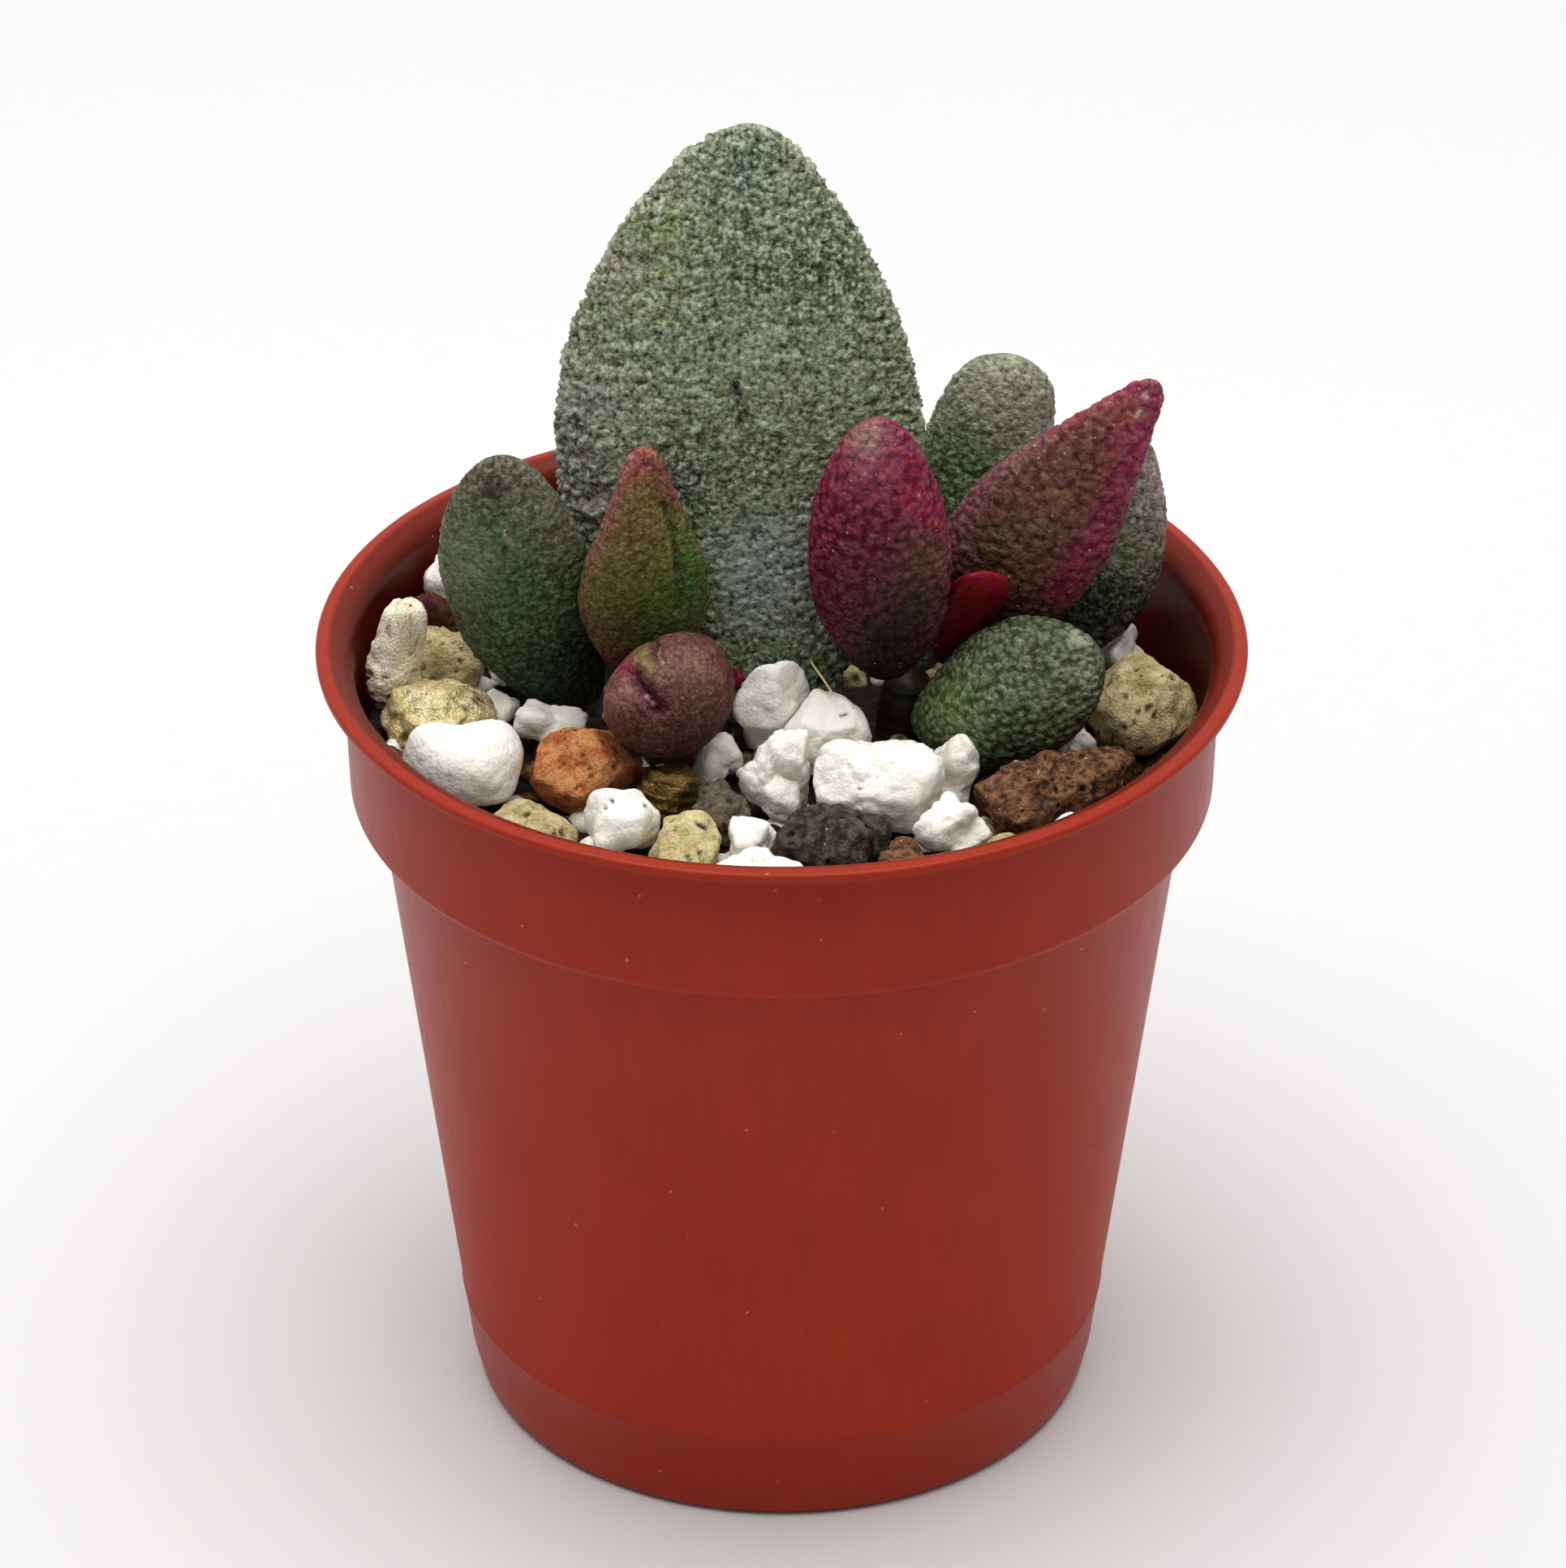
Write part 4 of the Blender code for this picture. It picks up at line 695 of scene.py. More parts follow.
def wart_relief(leaf, smooth, flat_map, across, salt):
    """Height of a leaf's warts in mm, their crest from 0 to 1, and the number of the wart at each point."""
    margin = ease(MARGIN_FROM, 1.0, np.abs(across))
    height, crest, total = np.zeros(across.shape), np.zeros(across.shape), 0.0
    for index, (size, rise) in enumerate(leaf["warts"]):
        wander = [ripple(smooth, size, salt + 9), ripple(smooth, size, salt + 10), np.zeros(across.shape)]
        strayed = flat_map + WART_STRAY * size * np.stack(wander, -1)
        dome, number = domes(strayed, size, salt + index, flat=True)
        dome = dome * (LOWEST_WART + (1 - LOWEST_WART) * number)
        height += dome * (rise + leaf["edge"] * margin * (index == len(leaf["warts"]) - 1))
        crest += dome * rise
        total += rise
    # The warts stand half above and half below the solid's own face, so the outline stays the same.
    return height - 0.5 * total, np.clip(crest / total / 0.8, 0, 1), number


heights = domes(check, 1.0, 1)[0]
print("domes span", heights.min().round(2), "to", heights.max().round(2))

# %% [markdown]
# A scar, a crease or a pale spot of the real leaf is easiest to place where the camera sees it. So
# the points of the skin are carried into the picture by the camera's own angle and distance, and a
# mark reaches every point near its place there, if that point faces the camera.

# %% Marks placed in the picture
# How far down the camera looks in radians, its distance from the point it aims at, and where in X and Z
# that point lies, in mm.
CAMERA_PITCH, CAMERA_AWAY, AIM_X, AIM_Z = 0.5313, 455.26, 0.075, 40.106


def as_seen(points):
    """Where the camera sees points: millimetres right of and above the middle of the picture."""
    c, s = math.cos(CAMERA_PITCH), math.sin(CAMERA_PITCH)
    x, y, z = points[..., 0] - AIM_X, points[..., 1], points[..., 2] - AIM_Z
    nearer = CAMERA_AWAY / (CAMERA_AWAY + c * y - s * z)
    return np.stack([x * nearer, (s * y + c * z) * nearer], -1)


def away_from_line(points, line):
    """Distance of each point from a line of straight pieces."""
    far = np.full(points.shape[:-1], 99.0)
    for a, b in zip(np.array(line[:-1], float), np.array(line[1:], float)):
        t = np.clip((points - a) @ (b - a) / ((b - a) @ (b - a)), 0, 1)
        far = np.minimum(far, np.linalg.norm(points - a - t[..., None] * (b - a), axis=-1))
    return far


def dents_of(leaf, seen, facing):
    """Each dent's mask, a bell across its line, with its depth, colour and strength."""
    return [(np.exp(-(away_from_line(seen, line) / reach) ** 2) * facing, depth, light_of(code), strength)
            for line, reach, depth, code, strength in leaf["dents"]]


def paint(leaf, smooth, length, across, seen, facing, dents, salt):
    """The leaf's ground colour, drawn towards the colours of its patches, spots and dents by bent bells."""
    tint = np.broadcast_to(light_of(leaf["ground"]), smooth.shape).copy()
    wander = 0.05 * ripple(smooth, 2.5, salt + 5)
    layers = []
    for code, s0, a0, s_reach, a_reach, strength in leaf["patches"]:
        bell = np.exp(-((length + wander - s0) / s_reach) ** 2 - ((across + 3 * wander - a0) / a_reach) ** 2)
        layers.append((bell, light_of(code), strength))
    for code, centre, reach, strength in leaf["spots"]:
        far = np.linalg.norm(seen + 8 * wander[..., None] - centre, axis=-1)
        layers.append((np.exp(-(far / reach) ** 2) * facing, light_of(code), strength))
    layers += [(mask, colour, strength) for mask, _, colour, strength in dents]
    for mask, colour, strength in layers:
        tint += (strength * mask)[..., None] * (colour - tint)
    return tint


print("the aim point is seen at", as_seen(np.array([AIM_X, 0.0, AIM_Z])))

# %% [markdown]
# Now each leaf can be dressed. Its warts, folds and dents add up to one height at every point, which
# moves the point straight off the smooth form. Towards the base and the tip the height fades out, so
# the grid closes cleanly there.

# %% Leaf pieces
BASE_FADE, TIP_FADE = 0.08, 0.03
# Height in mm, and spacing, of the unevenness that the whole skin has under its warts.
UNEVEN, UNEVEN_APART = 0.03, 0.3


def dress_leaf(name, leaf, salt):
    """Makes a leaf's finished skin, and returns a fifth of its smooth points and their outward directions."""
    s, turn = leaf_places(leaf)
    smooth = leaf_surface(leaf, s, turn)
    off = outward(smooth)
    across = np.broadcast_to(np.cos(turn)[None, :], smooth.shape[:2])
    length = np.broadcast_to(s[:, None], smooth.shape[:2])
    height, crest, number = wart_relief(leaf, smooth, skin_map(smooth, turn), across, salt)
    height += UNEVEN * ripple(smooth, UNEVEN_APART, salt + 3)
    if leaf["wrinkle"]:
        folds = ripple(smooth * (0.28, 0.28, 1.0), 0.75, salt + 4) * ease(-0.2, -0.6, across)
        height += leaf["wrinkle"] * folds
    seen = as_seen(smooth)
    facing = ease(-0.2, 0.2, -off @ (0.0, math.cos(CAMERA_PITCH), -math.sin(CAMERA_PITCH)))
    dents = dents_of(leaf, seen, facing)
    for mask, depth, _, _ in dents:
        height -= depth * mask
    fade = np.clip(np.minimum(length / BASE_FADE, (1 - length) / TIP_FADE), 0, 1)
    tint = paint(leaf, smooth, length, across, seen, facing, dents, salt)
    make_piece(
        name + "_skin", *closed_grid(smooth + off * (height * fade)[..., None], [leaf["base"], leaf["tip"]]),
        waxy_skin("waxy_skin_of_" + name, **leaf["skin"]), name, name,
        tint=np.concatenate([tint.reshape(-1, 3), tint[[0, -1], 0]]),
        crest=np.r_[crest.ravel(), crest[0, 0], crest[-1, 0]], number=np.r_[number.ravel(), 0.5, 0.5])
    return smooth.reshape(-1, 3)[::5], off.reshape(-1, 3)[::5]


skins = {name: dress_leaf(name, leaf, 20 * index) for index, (name, leaf) in enumerate(LEAVES.items())}

# %% [markdown]
# ## Stems
# The plantlets stand on short woody stems, ringed where old leaves fell. Each is a tube: a circle
# carried along a bent line, its radius swelling and shrinking a little along the way. A thinner,
# smooth tube makes the bit of straw that lies before the mother leaf.

# %% Stem skin
STEMS = {
    "stem_left": [((-8.9, 2.5, 39.4), 1.5), ((-8.9, 2.4, 43.0), 1.45), ((-8.6, 2.0, 45.4), 1.25)],
    "stem_right": [((7.2, 2.5, 39.4), 1.6), ((7.2, 2.4, 43.2), 1.55), ((7.4, 1.9, 46.2), 1.3)],
    "stem_right_branch": [((7.2, 2.4, 43.8), 1.1), ((10.4, 4.6, 44.0), 1.1), ((13.4, 6.3, 45.2), 1.0)],
}
STRAW = [((1.75, -1.55, 49.3), 0.05), ((2.3, -2.6, 49.0), 0.07), ((3.0, -3.4, 48.25), 0.06)]
# How fast the leaf scars' rings follow each other along a stem.
RING_PACE = 21


def tube(path, rows, columns, swell, salt):
    """Circles along a bent line, their radius times 1 plus a ring-shaped swelling and a little noise."""
    middle = np.array([p for p, _ in path], float)
    at = np.linspace(0, len(path) - 1, rows)
    line = np.stack([np.interp(at, range(len(path)), middle[:, k]) for k in range(3)], -1)
    size = np.interp(at, range(len(path)), [r for _, r in path])
    along = unit(np.gradient(line, axis=0))
    side = unit(np.cross(along, (0.0, 1.0, 0.0)))
    front = np.cross(along, side)
    turn = steps_round(columns)
    ring = np.cos(turn)[None, :, None] * side[:, None] + np.sin(turn)[None, :, None] * front[:, None]
    size = size * (1 + swell * np.sin(np.arange(rows) / rows * RING_PACE) ** 2)
    points = line[:, None] + ring * size[:, None, None]
    noise = swell * ripple(points, 0.5, salt) + swell * ripple(points, 1.4, salt + 1)
    points = points + ring * noise[..., None]
    return points, np.array([line[0], line[-1] + along[-1] * size[-1] * 0.35])


def woody_stem(name):
    """Young wood under thin bark: dull red-brown with an olive flush, darkened as painted shade, and a faint
    wax gloss.
    """
    material, tree, shader, place = new_material(name)
    drift = add_node(tree, "TexNoise", {"Vector": place, "Scale": 1 / (1.8 * MM), "Detail": 4.0})
    flush = add_node(tree, "MapRange", {"Value": drift, "From Min": 0.42, "From Max": 0.62},
                     interpolation_type="SMOOTHSTEP")
    # The bark's own red-brown and olive, darkened as painted shade for the gap under the leaves.
    colour = add_node(tree, "Mix", {"Factor": flush, "A": "#2E120E", "B": "#38351C"}, data_type="RGBA")
    fill(tree, shader, {
        "Base Color": colour,
        "Roughness": 0.5,
        "Normal": add_node(tree, "Bump", {"Height": drift, "Strength": 0.5, "Distance": 0.2 * MM})})
    return material


bark = woody_stem("woody stem bark")
for salt, (name, path) in enumerate(STEMS.items()):
    node = "stem_right" if "right" in name else name
    surface = tube(path, rows=40, columns=40, swell=0.06, salt=300 + salt)
    make_piece(name + "_bark", *closed_grid(*surface), bark, node, "stem")
straw, tree, shader, _ = new_material("dry straw")
fill(tree, shader, {"Base Color": "#D8C690", "Roughness": 0.6})
surface = tube(STRAW, rows=16, columns=8, swell=0.0, salt=320)
make_piece("straw_fibre", *closed_grid(*surface), straw, None, "stem")
print("stems:", list(STEMS))

# %% [markdown]
# ## Grains
# The mix is topped with loose grains, each a stone or crumb of its own. A grain is a star shape: a
# distance for every direction from its middle. That distance is the grain's own lumpy body, cut
# back softly by flat limits halfway to its neighbours, by the leaves and by the round wall of the
# pot, just as in the solids. Because every rule is a distance over directions, whole arrays do it.

# %% Grain sizes
# Kind, middle and half-sizes in mm, degrees turned and tilted, depth of its waves, and flat facets.
GRAINS = {
    "perlite_01": ("perlite", (-18.3, -6.4, 45.0), (3.7, 3.1, 2.8), 10, 0, 0.06, 0),
    "perlite_02": ("perlite", (-13.9, -0.5, 44.4), (2.1, 2.0, 1.8), 0, 0, 0.14, 0),
    "clay_01": ("clay", (-11.7, -6.4, 44.8), (3.3, 2.8, 2.4), 8, 0, 0.05, 7),
    "pumice_01": ("pumice", (-14.4, -12.6, 44.0), (2.5, 3.0, 1.9), 30, 0, 0.05, 6),
    "perlite_03": ("perlite", (-9.3, -11.8, 44.5), (2.4, 2.2, 2.2), 0, 0, 0.10, 3),
    "vermiculite_01": ("vermiculite", (-6.6, -8.1, 44.1), (2.1, 2.0, 1.8), 15, 0, 0.04, 5),
    "pumice_02": ("pumice", (-5.3, -14.2, 44.1), (2.2, 2.6, 1.9), 0, 0, 0.05, 6),
    "lava_01": ("lava", (-3.6, -10.4, 44.0), (1.9, 2.0, 1.7), 0, 0, 0.08, 5),
    "perlite_04": ("perlite", (-1.7, -13.1, 43.9), (1.7, 1.7, 1.6), 0, 0, 0.12, 0),
    "perlite_05": ("perlite", (-3.7, -3.9, 44.0), (1.7, 1.7, 1.6), 0, 0, 0.12, 3),
    "perlite_06": ("perlite", (-0.5, -1.3, 46.6), (2.5, 1.9, 2.9), 0, 12, 0.08, 3),
    "perlite_07": ("perlite", (2.9, -3.3, 45.9), (3.0, 2.4, 2.3), -8, 0, 0.05, 3),
    "perlite_08": ("perlite", (-0.3, -8.0, 45.0), (2.3, 2.1, 2.9), 0, 0, 0.11, 0),
    "perlite_09": ("perlite", (5.5, -9.1, 45.1), (4.5, 3.4, 2.9), -8, 0, 0.06, 3),
    "lava_02": ("lava", (2.6, -14.2, 44.4), (3.8, 2.9, 2.1), 5, 0, 0.06, 5),
    "perlite_10": ("perlite", (9.9, -6.9, 44.6), (2.1, 1.9, 2.1), 0, 0, 0.12, 0),
    "perlite_11": ("perlite", (10.2, -12.3, 44.3), (2.4, 2.2, 2.1), 0, 0, 0.12, 3),
    "lava_03": ("lava", (15.9, -8.6, 44.5), (6.9, 2.8, 2.6), 30, 0, 0.04, 4),
    "perlite_12": ("perlite", (17.3, -12.6, 43.9), (1.6, 1.6, 1.4), 0, 0, 0.12, 0),
    "pumice_03": ("pumice", (21.3, 0.7, 45.0), (3.7, 3.6, 2.9), -10, 0, 0.05, 6),
    "perlite_13": ("perlite", (20.3, 8.6, 44.7), (1.4, 1.9, 1.6), 0, 0, 0.10, 4),
    "pumice_04": ("pumice", (-23.0, 1.6, 46.8), (1.4, 1.6, 5.2), 90, 12, 0.03, 3),
    "lava_04": ("lava", (-20.9, 8.7, 46.4), (1.8, 1.8, 1.6), 0, 0, 0.08, 4),
    "pumice_05": ("pumice", (-20.2, 5.0, 45.2), (3.1, 2.5, 2.5), -12, 0, 0.05, 6),
    "vermiculite_02": ("vermiculite", (-20.5, -0.9, 44.9), (4.2, 2.9, 2.3), 10, 0, 0.03, 6),
    "perlite_14": ("perlite", (-19.9, 12.2, 47.2), (2.3, 2.0, 1.8), 0, 0, 0.10, 0),
    "perlite_15": ("perlite", (-17.2, 8.0, 45.8), (1.5, 1.7, 1.8), 0, 0, 0.10, 0),
    "perlite_16": ("perlite", (-16.9, 1.0, 44.2), (1.6, 1.5, 1.4), 0, 0, 0.10, 0),
    "perlite_17": ("perlite", (-16.3, 4.6, 44.9), (1.7, 1.6, 1.7), 0, 0, 0.10, 0),
    "perlite_18": ("perlite", (17.3, -1.2, 43.8), (1.4, 1.4, 1.3), 0, 0, 0.12, 0),
    "perlite_19": ("perlite", (-1.2, -17.6, 44.0), (3.2, 2.4, 1.6), 0, 0, 0.10, 0),
    "lava_05": ("lava", (7.0, -16.6, 44.0), (1.9, 2.0, 1.4), 0, 0, 0.08, 5),
    "pumice_06": ("pumice", (13.2, -15.2, 43.9), (1.8, 1.8, 1.5), 0, 0, 0.06, 5),
    "perlite_20": ("perlite", (17.0, 13.6, 44.3), (2.6, 2.4, 2.2), 20, 0, 0.10, 0),
    "pumice_07": ("pumice", (12.4, 18.0, 44.3), (2.9, 2.6, 2.1), 40, 0, 0.05, 7),
    "perlite_21": ("perlite", (6.2, 20.6, 44.4), (2.8, 2.5, 2.3), 0, 0, 0.10, 3),
    "lava_06": ("lava", (0.2, 19.8, 44.6), (2.6, 2.8, 2.1), 10, 0, 0.06, 6),
    "perlite_22": ("perlite", (-6.0, 20.6, 44.9), (3.0, 2.5, 2.3), 0, 0, 0.09, 0),
    "clay_02": ("clay", (-12.0, 18.2, 45.4), (2.6, 2.6, 2.1), 35, 0, 0.05, 6),
    "perlite_23": ("perlite", (-15.6, 15.4, 46.2), (2.0, 2.0, 1.8), 0, 0, 0.10, 0),
    "pumice_08": ("pumice", (8.0, 13.2, 44.6), (2.9, 2.5, 2.1), 15, 0, 0.05, 6),
    "perlite_24": ("perlite", (1.5, 12.9, 44.4), (2.9, 2.6, 2.3), 30, 0, 0.10, 3),
    "lava_07": ("lava", (-5.0, 13.0, 44.1), (2.6, 2.4, 2.1), 0, 0, 0.07, 6),
    "perlite_25": ("perlite", (-11.2, 11.2, 45.4), (2.8, 2.6, 2.2), 20, 0, 0.09, 0),
}
SEEDS = {name: index for index, name in enumerate(GRAINS)}
print(len(GRAINS), "grains, the widest", max(2 * max(g[2]) for g in GRAINS.values()), "mm")

# %% [markdown]
# The body of a grain is an ellipsoid, which slow waves make lumpy and a few soft flat facets make
# angular. Its underside reaches down to the mix. Soft here means a soft minimum: of several
# distances it takes nearly the least, and rounds the edge where two of them meet.

# %% The body of a grain
SOIL_LEVEL, SOIL_RADIUS, BANK_RISE, GRIT_HEIGHT = 42.0, 24.65, 2.6, 0.45
# The higher this power, the sharper the edges between facets.
GRAIN_POWER = 14.0
WAVES = 5


def soil_height(x, y):
    """Height of the mix before its grit: level, then an S-curve from 8 to 22 mm out to the back left."""
    toward = np.clip((-x * 0.82 + y * 0.57 - 8.0) / 14.0, 0, 1)
    return SOIL_LEVEL + BANK_RISE * toward * toward * (3 - 2 * toward)


def spin(turn, tilt):
    """The frame of a grain: tilted about its own across axis, then turned about Z."""
    a, b = math.radians(turn), math.radians(tilt)
    about_z = np.array([[math.cos(a), -math.sin(a), 0], [math.sin(a), math.cos(a), 0], [0, 0, 1]])
    about_x = np.array([[1, 0, 0], [0, math.cos(b), -math.sin(b)], [0, math.sin(b), math.cos(b)]])
    return about_z @ about_x


def grain_body(grain, seed, ray):
    """Distance to a grain's own skin: an ellipsoid times slow waves, with soft flat facets near its face."""
    _, middle, half, turn, tilt, lumps, facets = grain
    draw = np.random.default_rng(100 + seed)
    frame_of_grain = spin(turn, tilt)
    local = ray @ frame_of_grain
    size = np.broadcast_to(np.array(half, float), local.shape).copy()
    under = middle[2] - float(soil_height(middle[0], middle[1])) - GRIT_HEIGHT
    size[:, 2] = np.where(local[:, 2] < 0, np.maximum(under, half[2] * 0.8), half[2])
    reach = 1 / np.linalg.norm(local / size, axis=1)
    for _ in range(WAVES):
        way = draw.normal(size=3)
        way /= np.linalg.norm(way)
        reach = reach * (1 + lumps * np.cos(draw.uniform(2.5, 5.5) * (ray @ way) + draw.uniform(0, 6.28)))
    inverse = reach ** -GRAIN_POWER
    for _ in range(facets):
        way = draw.normal(size=3)
        way /= np.linalg.norm(way)
        near = 1 / np.linalg.norm(way @ frame_of_grain / np.array(half, float))
        facing = np.maximum(ray @ way, 1e-3)
        inverse = inverse + (facing / (near * draw.uniform(0.78, 0.95))) ** GRAIN_POWER
    return inverse ** (-1 / GRAIN_POWER)


print("the bank rises to", soil_height(-SOIL_RADIUS, 0).round(1), "mm at the left")

# %% [markdown]
# A grain ends halfway to each neighbour, measured between the two grains' spines, which are short
# lines through their middles. It stays off the leaves too: the worst clash with the leaves' points
# is found and cut off by one more flat limit, and that is done again until none is left.

# %% Limits of a grain
CLEAR, INNER_RADIUS_AT_GRAINS = 0.3, 25.15
# Grains further apart than this can't touch, and leaf points further off than that don't matter.
FAR_GRAIN, FAR_LEAF = 14, 11
# A limit lies flat along the leaf, unless that would take it nearer than this share of the way to it.
LEAF_CUTS, NEAREST_FLAT = 10, 0.3


def spine(name):
    """A few points along a grain's longest axis, and its middling half-size."""
    _, middle, half, turn, tilt, _, _ = GRAINS[name]
    order = np.argsort(half)
    way = spin(turn, tilt)[:, order[2]]
    run = half[order[2]] - half[order[1]]
    return np.array(middle, float) + np.linspace(-run, run, 9)[:, None] * way, half[order[1]]


def grain_reach(name, limits, ray, swell=1.0):
    """Distance to the finished skin: a soft minimum of the body, the flat limits and the pot's round wall."""
    middle = np.array(GRAINS[name][1], float)
    inverse = (swell * grain_body(GRAINS[name], SEEDS[name], ray)) ** -GRAIN_POWER
    for way, distance in limits:
        inverse = inverse + (np.maximum(ray @ way, 1e-3) / distance) ** GRAIN_POWER
    level = np.maximum((ray[:, :2] ** 2).sum(1), 1e-6)
    dot = ray[:, :2] @ middle[:2]
    room = middle[:2] @ middle[:2] - (INNER_RADIUS_AT_GRAINS - CLEAR) ** 2
    wall = (-dot + np.sqrt(dot ** 2 - level * room)) / level
    return (inverse + wall ** -GRAIN_POWER) ** (-1 / GRAIN_POWER)


def neighbour_limits(name, middle):
    """A flat limit towards each near grain, at this grain's share of the gap between the two spines."""
    mine, my_half = spine(name)
    limits = []
    for other in GRAINS:
        theirs, their_half = spine(other)
        if other == name or np.linalg.norm(theirs[4] - middle) > FAR_GRAIN:
            continue
        apart = np.linalg.norm(theirs[None] - mine[:, None], axis=2)
        i, j = np.unravel_index(apart.argmin(), apart.shape)
        way = (theirs[j] - mine[i]) / apart[i, j]
        share = (apart[i, j] - CLEAR) * my_half / (my_half + their_half)
        limits.append((way, (mine[i] - middle) @ way + share))
    return limits


def grain_limits(name):
    """Flat limits (unit direction, distance) that keep a grain off its neighbours, the mix and the leaves."""
    middle = np.array(GRAINS[name][1], float)
    limits = neighbour_limits(name, middle)
    half = max(GRAINS[name][2][:2])
    x, y = middle[0] + half * np.cos(np.arange(8)), middle[1] + half * np.sin(np.arange(8))
    limits.append((np.array((0, 0, -1.0)), middle[2] - float(soil_height(x, y).max()) - GRIT_HEIGHT - CLEAR))
    off = np.concatenate([points for points, _ in skins.values()]) - middle
    facing = np.concatenate([normals for _, normals in skins.values()])
    far = np.linalg.norm(off, axis=1)
    off, facing, far = off[far < FAR_LEAF], facing[far < FAR_LEAF], far[far < FAR_LEAF]
    for _ in range(LEAF_CUTS if len(far) else 0):
        way = off / far[:, None]
        room = far - CLEAR - grain_reach(name, limits, way)
        worst = room.argmin()
        if room[worst] > 0:
            break
        flat = -facing[worst] @ off[worst] - CLEAR
        along_leaf = (-facing[worst], flat)
        across_leaf = (way[worst], far[worst] - CLEAR)
        limits.append(along_leaf if flat > NEAREST_FLAT * far[worst] else across_leaf)
    return limits


def ball_rays(rows, columns):
    """Directions on a ball: rows from pole to pole, columns round it, and the two poles last."""
    tall, turn = (np.arange(rows) + 0.5)[:, None] / rows * np.pi, steps_round(columns)
    z = np.broadcast_to(np.cos(tall), (rows, columns))
    grid = np.stack([np.sin(tall) * np.cos(turn), np.sin(tall) * np.sin(turn), z], -1).reshape(-1, 3)
    return np.concatenate([grid, [(0, 0, 1.0), (0, 0, -1.0)]])


print("perlite_09 has", len(grain_limits("perlite_09")), "flat limits")

# %% [markdown]
# ## What each stone's surface is
# - Expanded perlite is volcanic glass popped like corn: a white, lumpy crumb with creases.
# - Pumice is frozen foam: khaki, angular, with small open bubbles.
# - Lava is the same foam, heavier and darker, with more and deeper bubbles.
# - The orange fragment is baked clay with a grainy, nearly flat break.
# - Vermiculite is mica puffed open by heat: thin gold leaves, crumpled or stacked.
# Each kind has its own relief, in mm above or below the grain's smooth skin, and reports how deep in
# a pit or crease each point lies, which the material darkens as painted shade.

# %% Relief of each kind of stone
# How strongly the perlite grains in view are crumbled, next to those behind.
CRUMBLE = {
    "perlite_01": 0.2, "perlite_02": 0.45, "perlite_03": 0.3, "perlite_04": 0.5, "perlite_05": 0.45,
    "perlite_06": 0.35, "perlite_07": 0.35, "perlite_08": 0.62, "perlite_09": 0.5, "perlite_10": 0.7,
    "perlite_11": 0.5}
CRUMBLE_BEHIND = 0.55
# Foams: spacing of the bubbles in mm, share of them that are open, their depth and the roughness in mm.
FOAMS = {
    "pumice": (0.7, 0.6, 0.2, 0.17), "lava": (0.6, 0.7, 0.26, 0.34), "lava_02": (0.85, 0.95, 0.42, 0.3),
    "clay": (0.55, 0.3, 0.14, 0.16)}


def perlite_relief(p, salt, amount):
    """Popped lobes 1.9 and 0.85 mm across, with thin creases between some of them, under a fine grain."""
    shifted = p + 0.35 * np.stack([ripple(p, 1.3, salt + k) for k in range(3)], -1)
    first, second, _ = cells(shifted, 1.9, salt)
    crease = np.exp(-((second - first) / 0.08) ** 2) * ease(-0.2, 0.35, ripple(p, 1.7, salt + 4))
    small_first, small_second, _ = cells(shifted, 0.85, salt + 5)
    small = np.exp(-((small_second - small_first) / 0.12) ** 2) * ease(0.0, 0.4, ripple(p, 1.2, salt + 9))
    height = -amount * (0.24 * crease + 0.85 * np.maximum(first - 0.3, 0) + 0.13 * small)
    height += -amount * 0.36 * np.maximum(small_first - 0.3, 0) + 0.1 * ripple(p, 1.6, salt + 7)
    height += (0.02 + 0.05 * amount) * ripple(p, 0.5, salt + 8) + 0.03 * ripple(p, 0.26, salt + 6)
    return height, np.clip((0.7 * crease + 0.35 * small) * amount, 0, 1)


def foam_relief(p, salt, bubble, share, depth, rough):
    """Open bubbles of many sizes: pits at some of the seeds, out of round, over a rough broken face."""
    shifted = p + 0.3 * bubble * np.stack([ripple(p, 0.6 * bubble, salt + 5 + k) for k in range(3)], -1)
    first, _, number = cells(shifted, bubble, salt)
    mouth = 0.14 + 0.34 * ((number * 7) % 1)
    pit = ease(mouth, 0.4 * mouth, first) * (number < share)
    fine_first, _, fine_number = cells(shifted, bubble * 0.42, salt + 4)
    fine = ease(0.4, 0.12, fine_first) * (fine_number < share * 0.7)
    broken = ripple(p, 1.2, salt + 1) + 0.6 * ripple(p, 0.55, salt + 2) + 0.3 * ripple(p, 0.26, salt + 3)
    return rough * broken - depth * pit - 0.25 * depth * fine, np.clip(pit + 0.6 * fine, 0, 1)


def foil_relief(p, salt):
    """Crumpled foil: sharp ridges where noise passes zero, at three sizes, drawn out one way."""
    q = p @ np.array([[0.5, 0.2, 0.0], [-0.25, 0.9, 0.1], [0.0, -0.2, 1.0]])
    height = np.zeros(p.shape[:-1])
    for size, rise, k in ((1.5, 0.16, 0), (0.7, 0.13, 1), (0.38, 0.07, 2)):
        height += rise * np.maximum(1 - np.abs(ripple(q, size, salt + k)) * 3.4, -0.6)
    return height - 0.15, ease(-0.02, -0.16, height)


def stacked_relief(p, salt):
    """Stacked leaves of mica: a saw-tooth 0.34 mm high over tilted layers 0.62 mm apart."""
    layer = (p @ np.array([0.25, 0.35, 0.9])) / 0.62 + 0.35 * ripple(p, 2.0, salt)
    tooth = layer % 1
    return 0.34 * tooth - 0.22 + 0.04 * ripple(p, 0.6, salt + 1), ease(0.35, 0.0, tooth)


